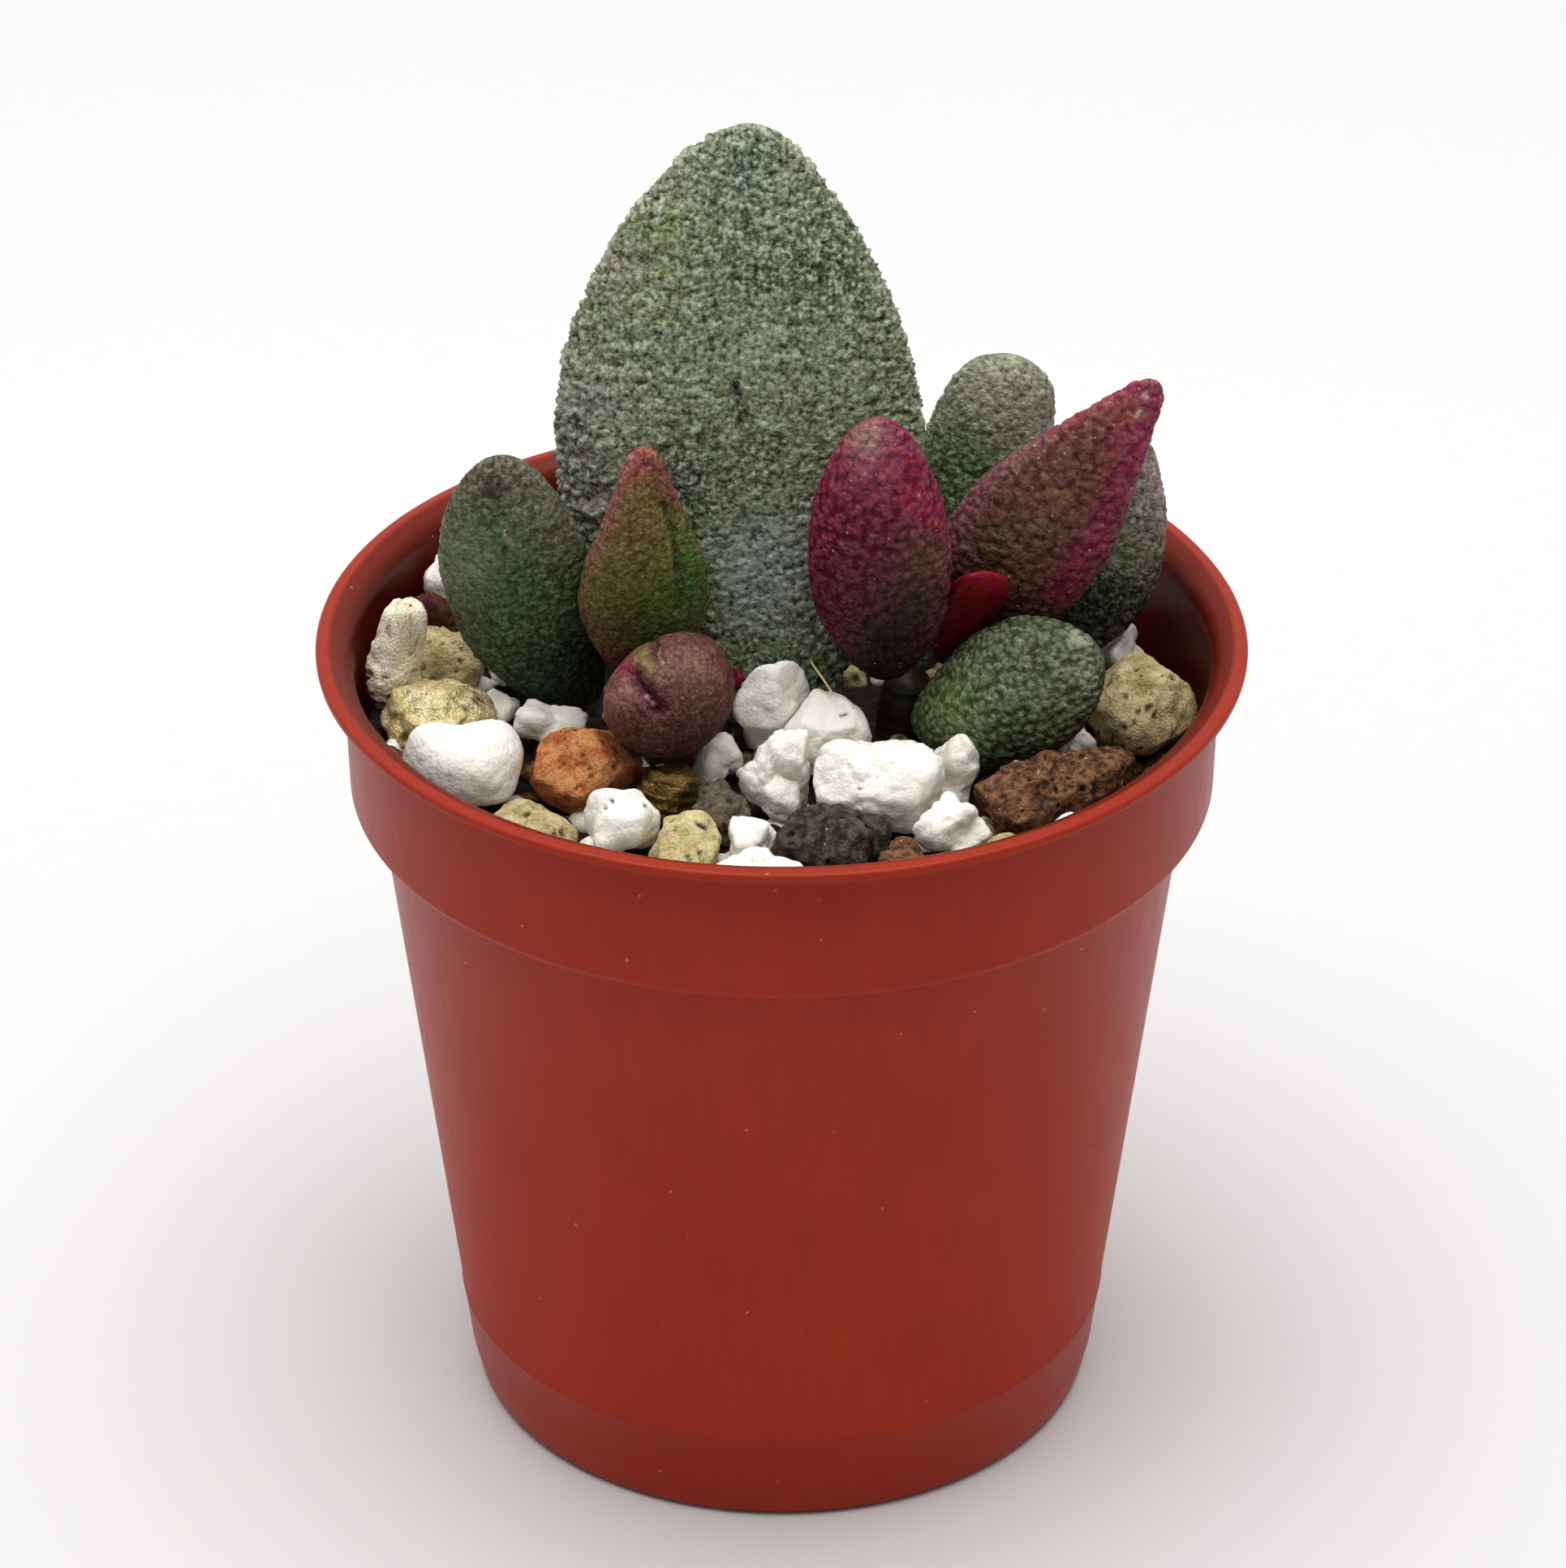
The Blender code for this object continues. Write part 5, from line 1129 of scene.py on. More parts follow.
def relief_of(name, kind, p, salt):
    """Height in mm and depth of shade, from 0 to 1, that a grain's own kind of stone has at its points."""
    if kind == "perlite":
        return perlite_relief(p, salt, CRUMBLE.get(name, CRUMBLE_BEHIND))
    if kind == "vermiculite":
        return stacked_relief(p, salt) if name == "vermiculite_01" else foil_relief(p, salt)
    return foam_relief(p, salt, *FOAMS.get(name, FOAMS[kind]))


print("relief of perlite spans", np.round(perlite_relief(check[:500], 1, 1.0)[0].min(), 2), "mm")

# %% [markdown]
# One function makes every stone's finish, because they differ in numbers only: two ground colours
# that lie in patches, a dark colour painted into pits and creases as shade, stray specks of other
# minerals, and how rough they are. Perlite is a foam of glass, so light goes into it a little, which
# makes its shadows milky.
# Vermiculite is mica, and shines like a dull metal.

# %% Stone materials
def stone(name, ground, second, pit, roughness, patch_mm=1.1, speck="#2A2420", specks=0.0, metal=0.0,
          milky=0.0):
    """Mineral crumb: two ground colours in patches, a grainy shade over them, painted shade in pits and
    creases, and stray specks.
    """
    material, tree, shader, place = new_material(name)
    deep = add_node(tree, "Attribute", attribute_name="pit").outputs["Fac"]
    marked = add_node(tree, "Attribute", attribute_name="mark").outputs["Fac"]
    patch = add_node(tree, "TexNoise", {"Vector": place, "Scale": 1 / (patch_mm * MM), "Detail": 4.0,
                                        "Roughness": 0.6})
    grain_mm, shading, bump = (0.22, 0.04, 0.7) if milky else (0.16, 0.22, 0.95)
    grain = add_node(tree, "TexNoise", {"Vector": place, "Scale": 1 / (grain_mm * MM), "Detail": 3.0})
    share = add_node(tree, "MapRange", {"Value": patch, "From Min": 0.38, "From Max": 0.64},
                     interpolation_type="SMOOTHSTEP")
    shade = add_node(tree, "MapRange", {"Value": grain, "From Min": 0.3, "From Max": 0.7,
                                        "To Min": 1 - shading, "To Max": 1 + shading})
    colour = add_node(tree, "Mix", {"Factor": share, "A": ground, "B": second}, data_type="RGBA")
    colour = add_node(tree, "HueSaturation", {"Color": colour, "Value": shade})
    # Painted shade: the pit colour goes into the pits and creases as far as the pit field says; the mark
    # field gives dark slits and specks.
    for field, dark in ((deep, pit), (marked, "#1C1510")):
        colour = add_node(tree, "Mix", {"Factor": field, "A": colour, "B": dark}, data_type="RGBA")
    if specks:
        colour = dotted(tree, place, colour, speck, apart_mm=0.9, inner=0.07, outer=0.13, skipped=1 - specks,
                        strength=1.0)
    if milky:
        fill(tree, shader, {"Subsurface Weight": milky, "Subsurface Radius": (0.6, 0.55, 0.5),
                            "Subsurface Scale": 1.0 * MM})
    fill(tree, shader, {
        "Base Color": colour,
        "Roughness": roughness,
        "Metallic": metal,
        "Normal": add_node(tree, "Bump", {"Height": grain, "Strength": bump, "Distance": 0.14 * MM})})
    return material


# The third colour of each finish is the painted shade of its pits and creases.
STONES = {
    "perlite": stone("expanded perlite", "#FCF9F0", "#F6F2E8", "#D4CCC0", 0.9, specks=0.06, milky=0.3),
    "pumice": stone("khaki pumice", "#C7B78E", "#A69467", "#4A3C26", 0.9, specks=0.35),
    "pumice_04": stone("pale pumice", "#FCF6DE", "#ECE2C4", "#A09274", 0.9, specks=0.4),
    "pumice_02": stone("straw pumice", "#D9CDA0", "#BFAE7C", "#4A3E28", 0.9, specks=0.3),
    "lava": stone(
        "brown lava", "#8A6242", "#442614", "#160A06", 0.8, patch_mm=0.6, speck="#D0A47C", specks=0.6),
    "lava_01": stone("grey lava", "#7A6E5C", "#5A5144", "#28211A", 0.9, specks=0.2),
    "lava_02": stone(
        "black lava", "#5E5244", "#1C150F", "#030201", 0.75, patch_mm=0.7, speck="#8E8272", specks=0.4),
    "lava_04": stone("dark red lava", "#5A2A20", "#3A140C", "#140604", 0.9),
    "clay": stone(
        "baked clay fragment", "#C88E5E", "#A45A2A", "#5E2C14", 0.85, patch_mm=0.9, speck="#3A1C10",
        specks=0.45),
    "vermiculite": stone("gold vermiculite", "#E8DAB2", "#CDB77E", "#7A6234", 0.34, metal=0.4),
    "vermiculite_01": stone("brown vermiculite", "#A0864C", "#6E5628", "#20160A", 0.35, metal=0.5),
}
print(len(STONES), "stone finishes")

# %% [markdown]
# Stones that have been crushed show flat breaks. Most of them come by chance, and those that give a
# grain in front its own look are listed. A few dark slits and specks are marked as the camera
# sees them.

# %% Breaks and marks
# Breaks by chance: how many a kind of stone, or one grain, has.
CHIPS = {"perlite": 3, "perlite_01": 0, "perlite_08": 0, "pumice": 9, "lava": 7, "clay": 6, "vermiculite": 3,
         "vermiculite_01": 6}
# Listed breaks: degrees round from +X, degrees up, and the share of the stone's reach that stays.
BREAKS = {
    "clay_01": ((-95, 42, 0.80), (175, 10, 0.95), (125, 35, 0.86), (20, 15, 0.93), (-40, -5, 0.90),
                (-140, -10, 0.92), (80, 60, 0.88), (-10, 55, 0.88)),
    "pumice_03": ((-100, 50, 0.84), (160, 30, 0.9), (40, 25, 0.9), (-50, 20, 0.92)),
    "pumice_05": ((-100, 30, 0.86), (-60, 62, 0.84), (150, 35, 0.9), (20, 40, 0.86)),
    "pumice_02": ((-90, 55, 0.82), (170, 25, 0.88), (15, 20, 0.88)),
    "lava_03": ((-95, 55, 0.86), (-100, 5, 0.9), (170, 20, 0.92)),
    "perlite_06": ((-100, 15, 0.86), (-80, 60, 0.9)),
    "perlite_07": ((-88, 66, 0.74), (-80, 5, 0.88), (10, 20, 0.92)),
    "perlite_08": ((-90, 80, 0.84), (-60, 40, 0.86)),
}
# Dark slits and specks as the camera sees them: a line in millimetres of the picture, and its half-width.
MARKS = {
    "perlite_07": ((((3.5, 4.15), (3.9, 4.25)), 0.08),),
    "pumice_02": ((((-5.1, -2.3), (-4.5, -2.55)), 0.14),),
    "perlite_03": ((((-10.3, -0.85), (-10.2, -0.95)), 0.12), (((-10.7, -1.3), (-10.65, -1.35)), 0.1),
                   (((-8.2, -1.2), (-8.15, -1.3)), 0.12)),
    "perlite_09": ((((4.4, -0.2), (4.6, -0.3)), 0.07),),
}


def heading(round_deg, up_deg):
    """Unit direction so many degrees round from +X and so many up."""
    a, b = math.radians(round_deg), math.radians(up_deg)
    return np.array([math.cos(a) * math.cos(b), math.sin(a) * math.cos(b), math.sin(b)])


def chipped(reach, ray, name, kind):
    """A stone's reach cut by flat breaks, each keeping the given share of how far it reaches that way."""
    draw = np.random.default_rng(60 + SEEDS[name])
    breaks = [(heading(a, b), share) for a, b, share in BREAKS.get(name, ())]
    for _ in range(CHIPS.get(name, CHIPS[kind])):
        way = draw.normal(size=3)
        breaks.append((way / np.linalg.norm(way), draw.uniform(0.84, 0.97)))
    for way, share in breaks:
        facing = ray @ way
        reach = np.minimum(reach, (reach * facing).max() * share / np.maximum(facing, 0.05))
    return reach


print("breaks set by hand:", sum(len(breaks) for breaks in BREAKS.values()))

# %% [markdown]
# Now all the rules meet. A ball of directions, with a point about every 0.18 mm on the grains in
# front and a coarser one behind, gets each grain's reach, then its breaks, relief and marks.

# %% Grain pieces
# Breaks take something off a stone, so its body starts a little larger.
SWELL = {"clay": 1.12, "pumice": 1.06, "lava": 1.05}
# Spacing of the grid's points in mm in front of and behind the line between seen and hidden grains.
FRONT_STEP, BACK_STEP, BACK_Y = 0.175, 0.28, 9
MARK_DEPTH = 0.15

for name, grain in GRAINS.items():
    kind, middle, half = grain[:3]
    step = FRONT_STEP if middle[1] < BACK_Y else BACK_STEP
    columns = int(2 * np.pi * math.hypot(half[0], half[1]) / math.sqrt(2) / step)
    rows = int(np.pi * (max(half[:2]) + half[2]) / 2 / step)
    ray = ball_rays(rows, columns)
    reach = chipped(grain_reach(name, grain_limits(name), ray, SWELL.get(kind, 1.0)), ray, name, kind)
    smooth = np.array(middle) + ray * reach[:, None]
    height, pit = relief_of(name, kind, smooth, 400 + 11 * SEEDS[name])
    seen, mark = as_seen(smooth), np.zeros(len(ray))
    for line, wide in MARKS.get(name, ()):
        mark = np.maximum(mark, np.exp(-(away_from_line(seen, line) / wide) ** 2) * (ray[:, 1] < 0.3))
    points = np.array(middle) + ray * (reach + height - MARK_DEPTH * mark)[:, None]
    finish = STONES.get(name, STONES[kind])
    make_piece(name + "_stone", points, *round_faces(rows, columns), finish, name, kind, pit=pit, mark=mark)

# %% [markdown]
# ## Small crumbs and the mix
# Between the large grains lie hundreds of small ones on dark, damp grit. The crumbs of one kind are
# made together, as one piece. First their places are drawn, with the same seed each time: pebbles
# keep apart from each other and from the large grains, and crumbs may lie anywhere but on the plant.

# %% Places of pebbles and crumbs
PEBBLE_APART, PEBBLE_TRIES, CRUMB_COUNT = 3.5, 4000, 620
# Round places that pebbles stay out of: the mother leaf and the stems, as x, y and radius in mm.
PLANT_FEET = [
    (0.2, 3.3, 5.0), (-8.9, 2.4, 2.6), (5.6, 5.0, 2.6), (7.2, 1.6, 3.2), (10.4, 4.6, 2.4), (13.4, 6.3, 2.4)]


def pebble_places():
    """Pebbles of the mix where no loose grain lies: seeded places that keep apart, with radius and height."""
    draw = np.random.default_rng(11)
    taken = [(*grain[1][:2], max(grain[2][:2])) for grain in GRAINS.values()] + PLANT_FEET
    placed = []
    for _ in range(PEBBLE_TRIES):
        x, y = draw.uniform(-SOIL_RADIUS, SOIL_RADIUS, 2)
        radius, height = draw.uniform(1.5, 2.1), draw.uniform(1.1, 2.3)
        clear = math.hypot(x, y) < SOIL_RADIUS - radius - 0.1
        clear = clear and all(math.hypot(x - a, y - b) > size + radius * 0.75 for a, b, size in taken)
        clear = clear and all(math.hypot(x - p[0], y - p[1]) > PEBBLE_APART for p in placed)
        if clear:
            placed.append((x, y, radius, height))
    return placed


def crumb_places(count):
    """Small crumbs scattered evenly over the mix, clear of the stems and leaf: x, y, radius and height."""
    draw = np.random.default_rng(21)
    angle = draw.uniform(0, 2 * np.pi, count)
    radius = (SOIL_RADIUS - 0.8) * np.sqrt(draw.uniform(0, 1, count))
    size = draw.uniform(0.45, 1.15, count)
    x, y = radius * np.cos(angle), radius * np.sin(angle)
    # Clear of two ovals: the mother leaf's foot, and the room behind the right plantlet's stem.
    keep = ((x - 0.2) / 4.6) ** 2 + ((y - 3.2) / 2.9) ** 2 > 1
    keep &= ((x - 5.6) / 3.4) ** 2 + ((y - 4.2) / 3.8) ** 2 > 1
    return np.stack([x, y, size, size * draw.uniform(0.8, 1.5, count)], -1)[keep]


pebbles = np.array(pebble_places())
small = crumb_places(CRUMB_COUNT)
print(len(pebbles), "pebbles and", len(small), "crumbs")

# %% [markdown]
# One ball of directions serves all the crumbs of a kind: it is moved and squashed for each, and
# noise in space gives each its own lumps. Points that would be in the pot's wall are moved inwards.

# %% Pebble and crumb pieces
# Which of every nine pebbles and crumbs are of each kind.
NINTHS = {"perlite": (0, 2, 5), "pumice": (1, 4), "lava": (3, 7, 8), "clay": (6,)}


def crumbs(places, rows, columns, salt):
    """Lumpy balls at the places as one array of points, with their faces and each point's share of painted
    pit shade, in random patches.
    """
    ray = ball_rays(rows, columns)
    draw = np.random.default_rng(salt)
    squash = draw.uniform(0.75, 1.25, (len(places), 3))
    x, y, size, tall = places.T
    centre = np.stack([x, y, soil_height(x, y) + 0.25 * tall], -1)
    half = np.stack([size * squash[:, 0], size * squash[:, 1], tall * 0.8], -1)
    points = centre[:, None] + ray[None] * half[:, None]
    noise = ripple(points, 1.0, salt + 1) * 0.22 + ripple(points, 0.45, salt + 2) * 0.08
    points = points + ray[None] * (noise * size[:, None])[..., None]
    squares, fans = round_faces(rows, columns)
    shift = np.arange(len(places))[:, None, None] * len(ray)
    out = points.reshape(-1, 3)
    over = np.maximum(np.hypot(out[:, 0], out[:, 1]) / (INNER_RADIUS_AT_GRAINS - 0.2), 1)
    out[:, :2] /= over[:, None]
    # Painted pit shade, in random patches of noise, since the crumbs have no modelled pits.
    pit = ease(-0.3, -0.7, ripple(out, 0.5, salt + 3))
    return out, (squares[None] + shift).reshape(-1, 4), (fans[None] + shift).reshape(-1, 3), pit


# The places of both sizes of crumb, the rows and columns of one's grid, and the salt of its noise.
SIZES = {"pebbles": (pebbles, 22, 34, 900), "crumbs": (small, 7, 11, 950)}
for index, (kind, share) in enumerate(NINTHS.items()):
    finish = STONES["lava_04" if kind == "clay" else kind]
    for word, (places, rows, columns, salt) in SIZES.items():
        mine = places[np.isin(np.arange(len(places)) % 9, share)]
        points, squares, fans, pit = crumbs(mine, rows, columns, salt + 10 * index)
        make_piece(word + "_of_" + kind, points, squares, fans, finish, None, kind, pit=pit)

# %% [markdown]
# The mix itself is a disc of rings whose height is the bank of the real surface with coarse grit on
# it, closed by a wall and a foot inside the pot. Only chinks of it show between the grains, so its
# finish is plain: damp peat, which is nearly black, with paler grit.

# %% The mix
def damp_grit(name):
    """Damp peat and crushed stone: dark brown lumps with paler grit among them."""
    material, tree, shader, place = new_material(name)
    patch = add_node(tree, "TexNoise", {"Vector": place, "Scale": 1 / (0.7 * MM), "Detail": 5.0,
                                        "Roughness": 0.7})
    share = add_node(tree, "MapRange", {"Value": patch, "From Min": 0.35, "From Max": 0.75})
    colour = add_node(tree, "Mix", {"Factor": share, "A": "#130D09", "B": "#3E2F22"}, data_type="RGBA")
    fill(tree, shader, {
        "Base Color": colour,
        "Roughness": 0.9,
        "Normal": add_node(tree, "Bump", {"Height": patch, "Strength": 0.8, "Distance": 0.3 * MM})})
    return material


RINGS, AROUND = 60, 260
MIX_FOOT_Z = 2.4
# Radius and height of the wall's corners, from the rim of the mix down.
MIX_WALL = ((24.6, 41.8), (22.95, 41.0), (18.05, MIX_FOOT_Z))
turn = steps_round(AROUND)
radius = SOIL_RADIUS * (np.arange(RINGS) + 0.5) / RINGS
x, y = radius[:, None] * np.cos(turn), radius[:, None] * np.sin(turn)
flat = np.stack([x, y, soil_height(x, y)], -1)
lumps = domes(flat, 1.5, 700)[0] * 0.4 + 0.15 * ripple(flat, 0.6, 701)
flat[..., 2] += np.clip(lumps, 0, GRIT_HEIGHT) * ease(SOIL_RADIUS, SOIL_RADIUS - 1.5, radius)[:, None]
wall = np.array([[(r * math.cos(a), r * math.sin(a), z) for a in turn] for r, z in MIX_WALL])
ends = [(0, 0, float(soil_height(0, 0)) + 0.2), (0, 0, MIX_FOOT_Z)]
make_piece(
    "mix_surface", *closed_grid(np.concatenate([flat, wall]), ends), damp_grit("damp peat and grit"), "soil",
    "potting_mix")
print("mix surface from", flat[..., 2].min().round(2), "to", flat[..., 2].max().round(2), "mm")

# %% [markdown]
# ## Pot
# A nursery pot is injection-moulded polypropylene: thin, even walls, a rolled lip, a collar band
# that stiffens the top, and drain holes in the foot. Its outline is turned round the axis, with
# every corner rounded as the mould's are. One thin ring shows where the mould's parts met near the
# foot.

# %% Pot outline
# All sizes are in millimetres.
POT_SIDES = 240
POT_HEIGHT, LIP_RADIUS, LIP_THICK = 50.4, 27.5, 0.75
BAND_RADIUS, BAND_FOOT_RADIUS, BAND_FOOT_Z = 25.9, 25.65, 40.8
WALL_TOP_RADIUS, WALL_FOOT_RADIUS, WALL_THICK = 24.05, 19.25, 0.75
FLOOR_UNDERSIDE, FLOOR_THICK, FOOT_RING_INNER = 0.9, 1.1, 16.6
DRAIN_RADIUS, DRAIN_CIRCLE = 2.2, 11.0
INNER_BAND_FOOT, INNER_BAND_TOP = 25.05, 25.3


def rounded(corners):
    """A (radius, height) outline whose corners are arcs. Each corner gives its fillet radius and arc steps.

    The arc's middle lies on the corner's bisector, as far off as makes the arc touch both sides.
    """
    outline = []
    for index, (r, z, fillet, steps) in enumerate(corners):
        here = np.array((r, z))
        if not fillet:
            outline.append(here)
            continue
        before = np.array(corners[index - 1][:2]) - here
        after = np.array(corners[index + 1][:2]) - here
        before /= np.linalg.norm(before)
        after /= np.linalg.norm(after)
        half = math.acos(np.clip(before @ after, -1, 1)) / 2
        reach = fillet / math.tan(half)
        middle = here + (before + after) / np.linalg.norm(before + after) * fillet / math.sin(half)
        t = np.linspace(0, 1, steps + 1)[:, None]
        turned = (here + before * reach - middle) * (1 - t) + (here + after * reach - middle) * t
        outline += list(middle + turned / np.linalg.norm(turned, axis=1, keepdims=True) * fillet)
    return np.array(outline)


# The ring where the mould's parts met: its height, and its radius on the wall's straight taper.
SEAM_Z, TAPER_FOOT_Z = 6.2, 2.3
TAPER_TOP_Z = BAND_FOOT_Z - 0.15
taper = (WALL_TOP_RADIUS - WALL_FOOT_RADIUS) * (SEAM_Z - TAPER_FOOT_Z) / (TAPER_TOP_Z - TAPER_FOOT_Z)
seam_radius = WALL_FOOT_RADIUS + taper
inner_top = FLOOR_UNDERSIDE + FLOOR_THICK
inner_foot = WALL_FOOT_RADIUS - WALL_THICK - 0.1
# Radius, height, fillet and arc steps of each corner, from the middle of the floor, up inside, over the
# lip, down outside and back to the middle underneath.
outline = rounded([
    (0.4, inner_top, 0, 0),
    (inner_foot, inner_top, 0.8, 5),
    (WALL_TOP_RADIUS - WALL_THICK, BAND_FOOT_Z - 0.2, 0.3, 3),
    (INNER_BAND_FOOT, BAND_FOOT_Z + 1.1, 0.5, 4),
    (INNER_BAND_TOP, POT_HEIGHT - LIP_THICK, 1.4, 10),
    (26.7, POT_HEIGHT, 0.5, 4),
    (LIP_RADIUS, POT_HEIGHT - 0.12, 0.24, 5),
    (LIP_RADIUS - 0.06, POT_HEIGHT - 0.62, 0.18, 5),
    (BAND_RADIUS, POT_HEIGHT - 1.25, 0.8, 6),
    (BAND_FOOT_RADIUS, BAND_FOOT_Z, 0.7, 9),
    (WALL_TOP_RADIUS, TAPER_TOP_Z, 0.1, 3),
    (seam_radius, SEAM_Z, 0, 0),
    (seam_radius + 0.05, SEAM_Z - 0.08, 0, 0),
    (seam_radius - 0.02, SEAM_Z - 0.2, 0, 0),
    (WALL_FOOT_RADIUS, TAPER_FOOT_Z, 2.0, 4),
    (18.7, 0.0, 0.9, 7),
    (FOOT_RING_INNER, 0.0, 0.1, 2),
    (FOOT_RING_INNER - 0.3, FLOOR_UNDERSIDE, 0.1, 2),
    (0.4, FLOOR_UNDERSIDE, 0, 0),
])
print("pot outline:", len(outline), "points")

# %% [markdown]
# The plastic is dyed all through, so its colour comes from one pair of close reds. What tells the eye
# that it is moulded is in small things: upright streaks where the melt flowed, a satin gloss that
# follows them, and pale dust. The wall's inside is darkened as painted shade, and faces that look up
# get a painted sheen of greyer red.

# %% Moulded plastic
def streaked(tree, place):
    """Upright streaks where the melt flowed: noise 0.9 mm wide, drawn out along Z."""
    upright = add_node(tree, "Mapping", {"Vector": place, "Scale": (1.0, 1.0, 0.03)})
    return add_node(tree, "TexNoise", {"Vector": upright, "Scale": 1 / (0.9 * MM), "Detail": 4.0,
                                       "Roughness": 0.7})


def painted_inner_shade(tree, place, normal, colour):
    """The colour darkened where the wall looks in towards the axis: painted shade for the inside of the pot.
    """
    away = add_node(tree, "VectorMath", {0: place, 1: (1.0, 1.0, 0.0)}, operation="MULTIPLY")
    outer = add_node(tree, "VectorMath", {0: away, 1: normal}, operation="DOT_PRODUCT")
    # Painted shade: the wall is darkened where it faces in, for the shade under the rim and the leaves.
    damp = add_node(tree, "MapRange", {"Value": outer, "From Min": -0.014, "From Max": 0.002,
                                       "To Min": 0.3, "To Max": 1.0})
    return add_node(tree, "HueSaturation", {"Color": colour, "Value": damp})


def moulded_polypropylene(name):
    """Dyed polypropylene from a polished mould: satin, with flow streaks, painted shade inside, a painted
    sheen on faces that look up, and dust.
    """
    material, tree, shader, place = new_material(name)
    slow = add_node(tree, "TexNoise", {"Vector": place, "Scale": 1 / (9 * MM), "Detail": 3.0})
    fine = add_node(tree, "TexNoise", {"Vector": place, "Scale": 1 / (0.25 * MM), "Detail": 2.0})
    streak = streaked(tree, place)
    value = add_node(tree, "MapRange", {"Value": streak, "From Min": 0.3, "From Max": 0.7,
                                        "To Min": 0.95, "To Max": 1.05})
    colour = add_node(tree, "Mix", {"Factor": slow, "A": "#982D19", "B": "#A63721"}, data_type="RGBA")
    colour = add_node(tree, "HueSaturation", {"Color": colour, "Value": value})
    normal = add_node(tree, "NewGeometry").outputs["Normal"]
    # Painted shade on the inside of the wall.
    colour = painted_inner_shade(tree, place, normal, colour)
    # Painted sheen: faces that look up are drawn towards a greyer red, as light from above would show on
    # them.
    tall = add_node(tree, "SeparateXYZ", {"Vector": normal}).outputs["Z"]
    painted_top_sheen = add_node(tree, "MapRange", {"Value": tall, "From Min": 0.5, "From Max": 1.0,
                                        "To Min": 0.0, "To Max": 0.4})
    colour = add_node(tree, "Mix", {"Factor": painted_top_sheen, "A": colour, "B": "#8E3C2C"}, data_type="RGBA")
    rough = add_node(tree, "MapRange", {"Value": streak, "From Min": 0.3, "From Max": 0.7,
                                        "To Min": 0.33, "To Max": 0.42})
    relief = add_node(tree, "Math", {0: fine, 1: 0.25, 2: streak}, operation="MULTIPLY_ADD")
    dusty = dotted(tree, place, colour, "#D9B7AC", apart_mm=1.6, inner=0.03, outer=0.08, skipped=0.72,
                   strength=0.4)
    fill(tree, shader, {
        "Base Color": dusty,
        "Roughness": rough,
        "Specular IOR Level": 0.2,
        "Normal": add_node(tree, "Bump", {"Height": relief, "Strength": 0.25, "Distance": 0.05 * MM})})
    return material


plastic = moulded_polypropylene("injection-moulded polypropylene")
print("plastic nodes:", len(plastic.node_tree.nodes))

# %% [markdown]
# The outline is carried round the axis, and the drain holes are cut by cylinders that are taken away
# again once the cut is applied, so the piece that is left is one plain mesh.

# %% Pot piece
# The lip of a thin moulded pot is never quite flat: nearly a tenth of a millimetre of slow waver.
WAVER = 0.09
HOLE_SIDES, HOLE_FROM_Z, HOLE_TO_Z = 32, -0.5, 3.5
DRAIN_TURNS = (0.785, 2.356, 3.927, 5.498)


def hole_cutter(x, y):
    """A cylinder through the pot's floor, centred on x and y in millimetres."""
    ring = np.array([[(x + DRAIN_RADIUS * math.cos(a), y + DRAIN_RADIUS * math.sin(a), z)
                      for a in steps_round(HOLE_SIDES)] for z in (HOLE_FROM_Z, HOLE_TO_Z)])
    points, squares, fans = closed_grid(ring, [(x, y, HOLE_FROM_Z), (x, y, HOLE_TO_Z)])
    # A cutter that is inside out would fill the hole, so its faces are turned round if they are.
    step = -1 if volume(points, squares, fans) < 0 else 1
    faces = [face[::step] for face in (*squares.tolist(), *fans.tolist())]
    mesh = bpy.data.meshes.new("hole")
    mesh.from_pydata((points * MM).tolist(), [], faces)
    cutter = bpy.data.objects.new("hole", mesh)
    bpy.context.scene.collection.objects.link(cutter)
    return cutter


turn = steps_round(POT_SIDES)
r, z = outline[:, 0][:, None], outline[:, 1][:, None]
waver = WAVER * ease(40, 50, z) * np.sin(2 * turn + 0.7) * np.cos(3 * turn)
grid = np.stack([r * np.cos(turn), r * np.sin(turn), z - np.abs(waver)], -1)
pot = make_piece(
    "moulded_pot", *closed_grid(grid, [(0, 0, inner_top), (0, 0, FLOOR_UNDERSIDE)]), plastic, "pot",
    "moulded_plastic")
holes = [(0.0, 0.0)] + [(DRAIN_CIRCLE * math.cos(a), DRAIN_CIRCLE * math.sin(a)) for a in DRAIN_TURNS]
cutters = [hole_cutter(x, y) for x, y in holes]
for cutter in cutters:
    pot.modifiers.new("drain hole", "BOOLEAN").object = cutter
bpy.context.view_layer.update()
cut_mesh = bpy.data.meshes.new_from_object(pot.evaluated_get(bpy.context.evaluated_depsgraph_get()))
pot.modifiers.clear()
pot.data = cut_mesh
for cutter in cutters:
    bpy.data.objects.remove(cutter, do_unlink=True)

# %% [markdown]
# ## Floor
# The plant stands on a plain pale sheet, so wide that its edge never shows. It is a disc of three
# rings, which isn't attached to the plant.

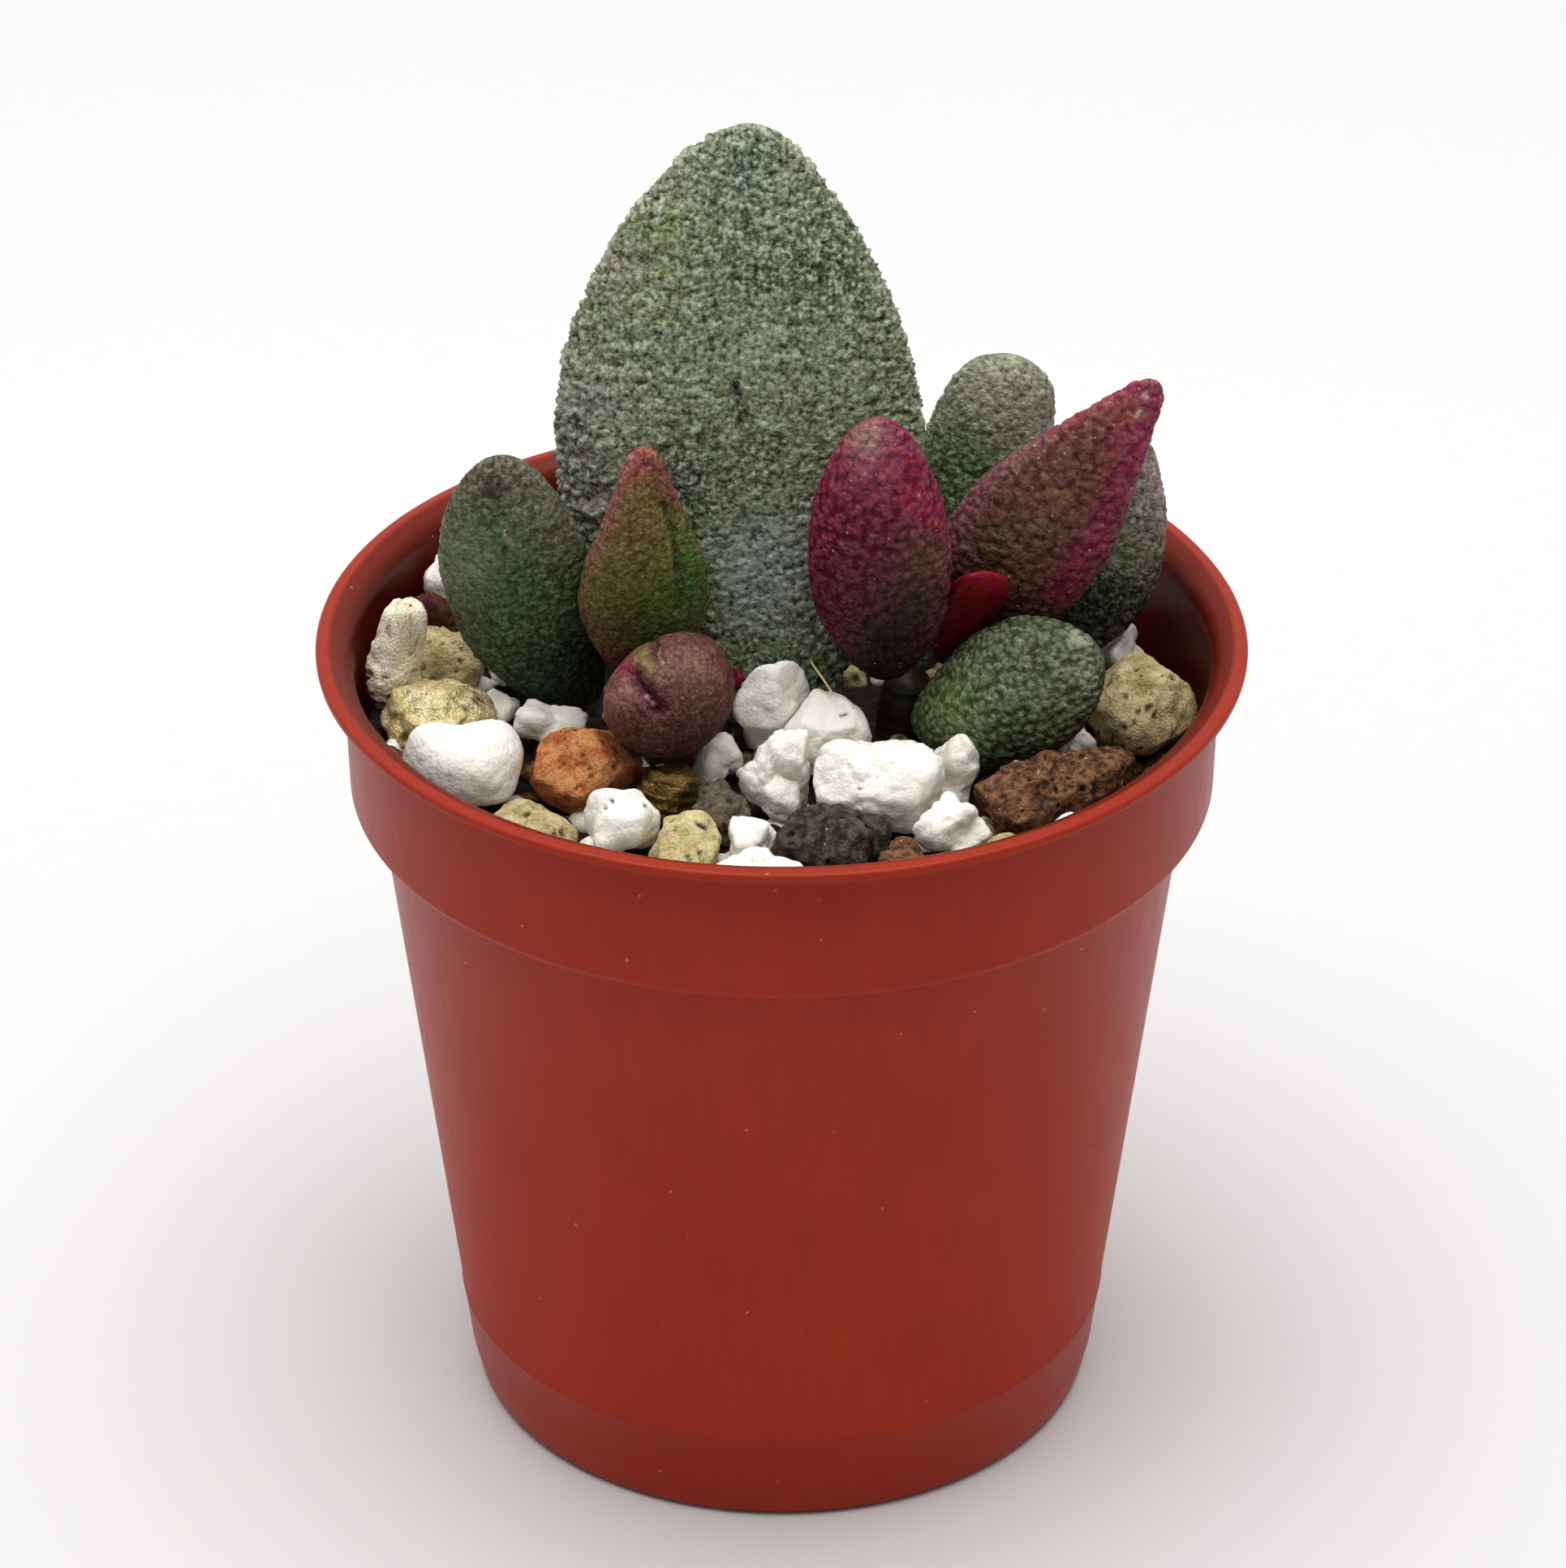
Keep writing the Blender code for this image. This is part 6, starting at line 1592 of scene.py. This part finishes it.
# %% Floor
def card(name):
    """White card: matt and very slightly warm, with painted shade that leaves it a little duller near the
    camera than at its far end.
    """
    material, tree, shader, place = new_material(name)
    fibre = add_node(tree, "TexNoise", {"Vector": place, "Scale": 1 / (2.0 * MM), "Detail": 3.0})
    value = add_node(tree, "MapRange", {"Value": fibre, "To Min": 0.985, "To Max": 1.0})
    # Painted shade: darker towards the camera, for the light that falls off there.
    along = add_node(tree, "SeparateXYZ", {"Vector": place}).outputs["Y"]
    depth = add_node(tree, "MapRange", {"Value": along, "From Min": -0.03, "From Max": 0.12,
                                        "To Min": 0.95, "To Max": 1.0})
    value = add_node(tree, "Math", {0: value, 1: depth}, operation="MULTIPLY")
    fill(tree, shader, {
        "Base Color": add_node(tree, "HueSaturation", {"Color": "#E0E0DF", "Value": value}),
        "Roughness": 0.7})
    return material


FLOOR_SIDES = 96
# Radii of the floor's rings, in metres.
radius = np.array([0.05, 0.4, 2.5])
turn = steps_round(FLOOR_SIDES)
level = np.zeros((len(radius), FLOOR_SIDES))
grid = np.stack([radius[:, None] * np.cos(turn), radius[:, None] * np.sin(turn), level], -1)
squares, _ = round_faces(len(radius), FLOOR_SIDES)
floor_mesh = bpy.data.meshes.new("floor")
floor_mesh.from_pydata(grid.reshape(-1, 3).tolist(), [], [*squares.tolist(), list(range(FLOOR_SIDES))])
floor_mesh.materials.append(card("white card"))
floor = bpy.data.objects.new("floor", floor_mesh)
bpy.context.scene.collection.objects.link(floor)
print("floor radius", radius[-1], "m")

# %% [markdown]
# ## Light
# The light is that of a small photo studio: a broad panel overhead and a bright surround. The
# surround is dimmer towards the camera, which leaves the pot's front deeper in colour than its sides.

# %% Light
bpy.context.scene.view_settings.view_transform = "Standard"
bpy.context.scene.view_settings.look = "Medium High Contrast"
SURROUND_NEAR, SURROUND_FAR = 0.34, 0.62
world = bpy.data.worlds.new("studio surround")
bpy.context.scene.world = world
world.use_nodes = True
tree = world.node_tree
way = add_node(tree, "SeparateXYZ", {"Vector": add_node(tree, "TexCoord").outputs["Generated"]}).outputs["Y"]
dim = add_node(tree, "MapRange", {"Value": way, "From Min": -0.8, "From Max": 0.8, "To Min": SURROUND_NEAR,
                                  "To Max": SURROUND_FAR}, interpolation_type="SMOOTHSTEP")
fill(tree, tree.nodes["Background"], {"Color": "#FAFBFC", "Strength": dim})


def panel(name, place, target, size, watts):
    """A soft square light at a place in metres, turned to shine at a target."""
    light = bpy.data.lights.new(name, "AREA")
    light.shape = "SQUARE"
    light.size = size
    light.energy = watts
    lamp = bpy.data.objects.new(name, light)
    lamp.location = place
    lamp.rotation_euler = (Vector(target) - Vector(place)).to_track_quat("-Z", "Y").to_euler()
    bpy.context.scene.collection.objects.link(lamp)


panel("overhead panel", place=(-0.02, -0.07, 0.80), target=(0, 0, 0.04), size=0.8, watts=6.0)

# %% [markdown]
# ## Camera
# The camera looks down at the plant from the front with a long lens. Its angle, distance and lens
# were fitted to the pot's rim, band and foot, and are the ones that placed the marks on the leaves.

# %% Camera
# The lens in pixels of a picture so many pixels high, and the width of the sensor in mm.
FOCAL_PIXELS, PICTURE_PIXELS, SENSOR = 9406.0, 1932, 36.0
away = CAMERA_AWAY * MM
lens = bpy.data.cameras.new("camera")
lens.sensor_width = SENSOR
lens.lens = FOCAL_PIXELS * SENSOR / PICTURE_PIXELS
lens.clip_start, lens.clip_end = 0.01, 10
camera = bpy.data.objects.new("camera", lens)
camera.location = (AIM_X * MM, -away * math.cos(CAMERA_PITCH), AIM_Z * MM + away * math.sin(CAMERA_PITCH))
camera.rotation_euler = (math.pi / 2 - CAMERA_PITCH, 0, 0)
bpy.context.scene.collection.objects.link(camera)
bpy.context.scene.camera = camera
print("camera at", [round(v, 4) for v in camera.location], "lens", round(lens.lens, 1), "mm")
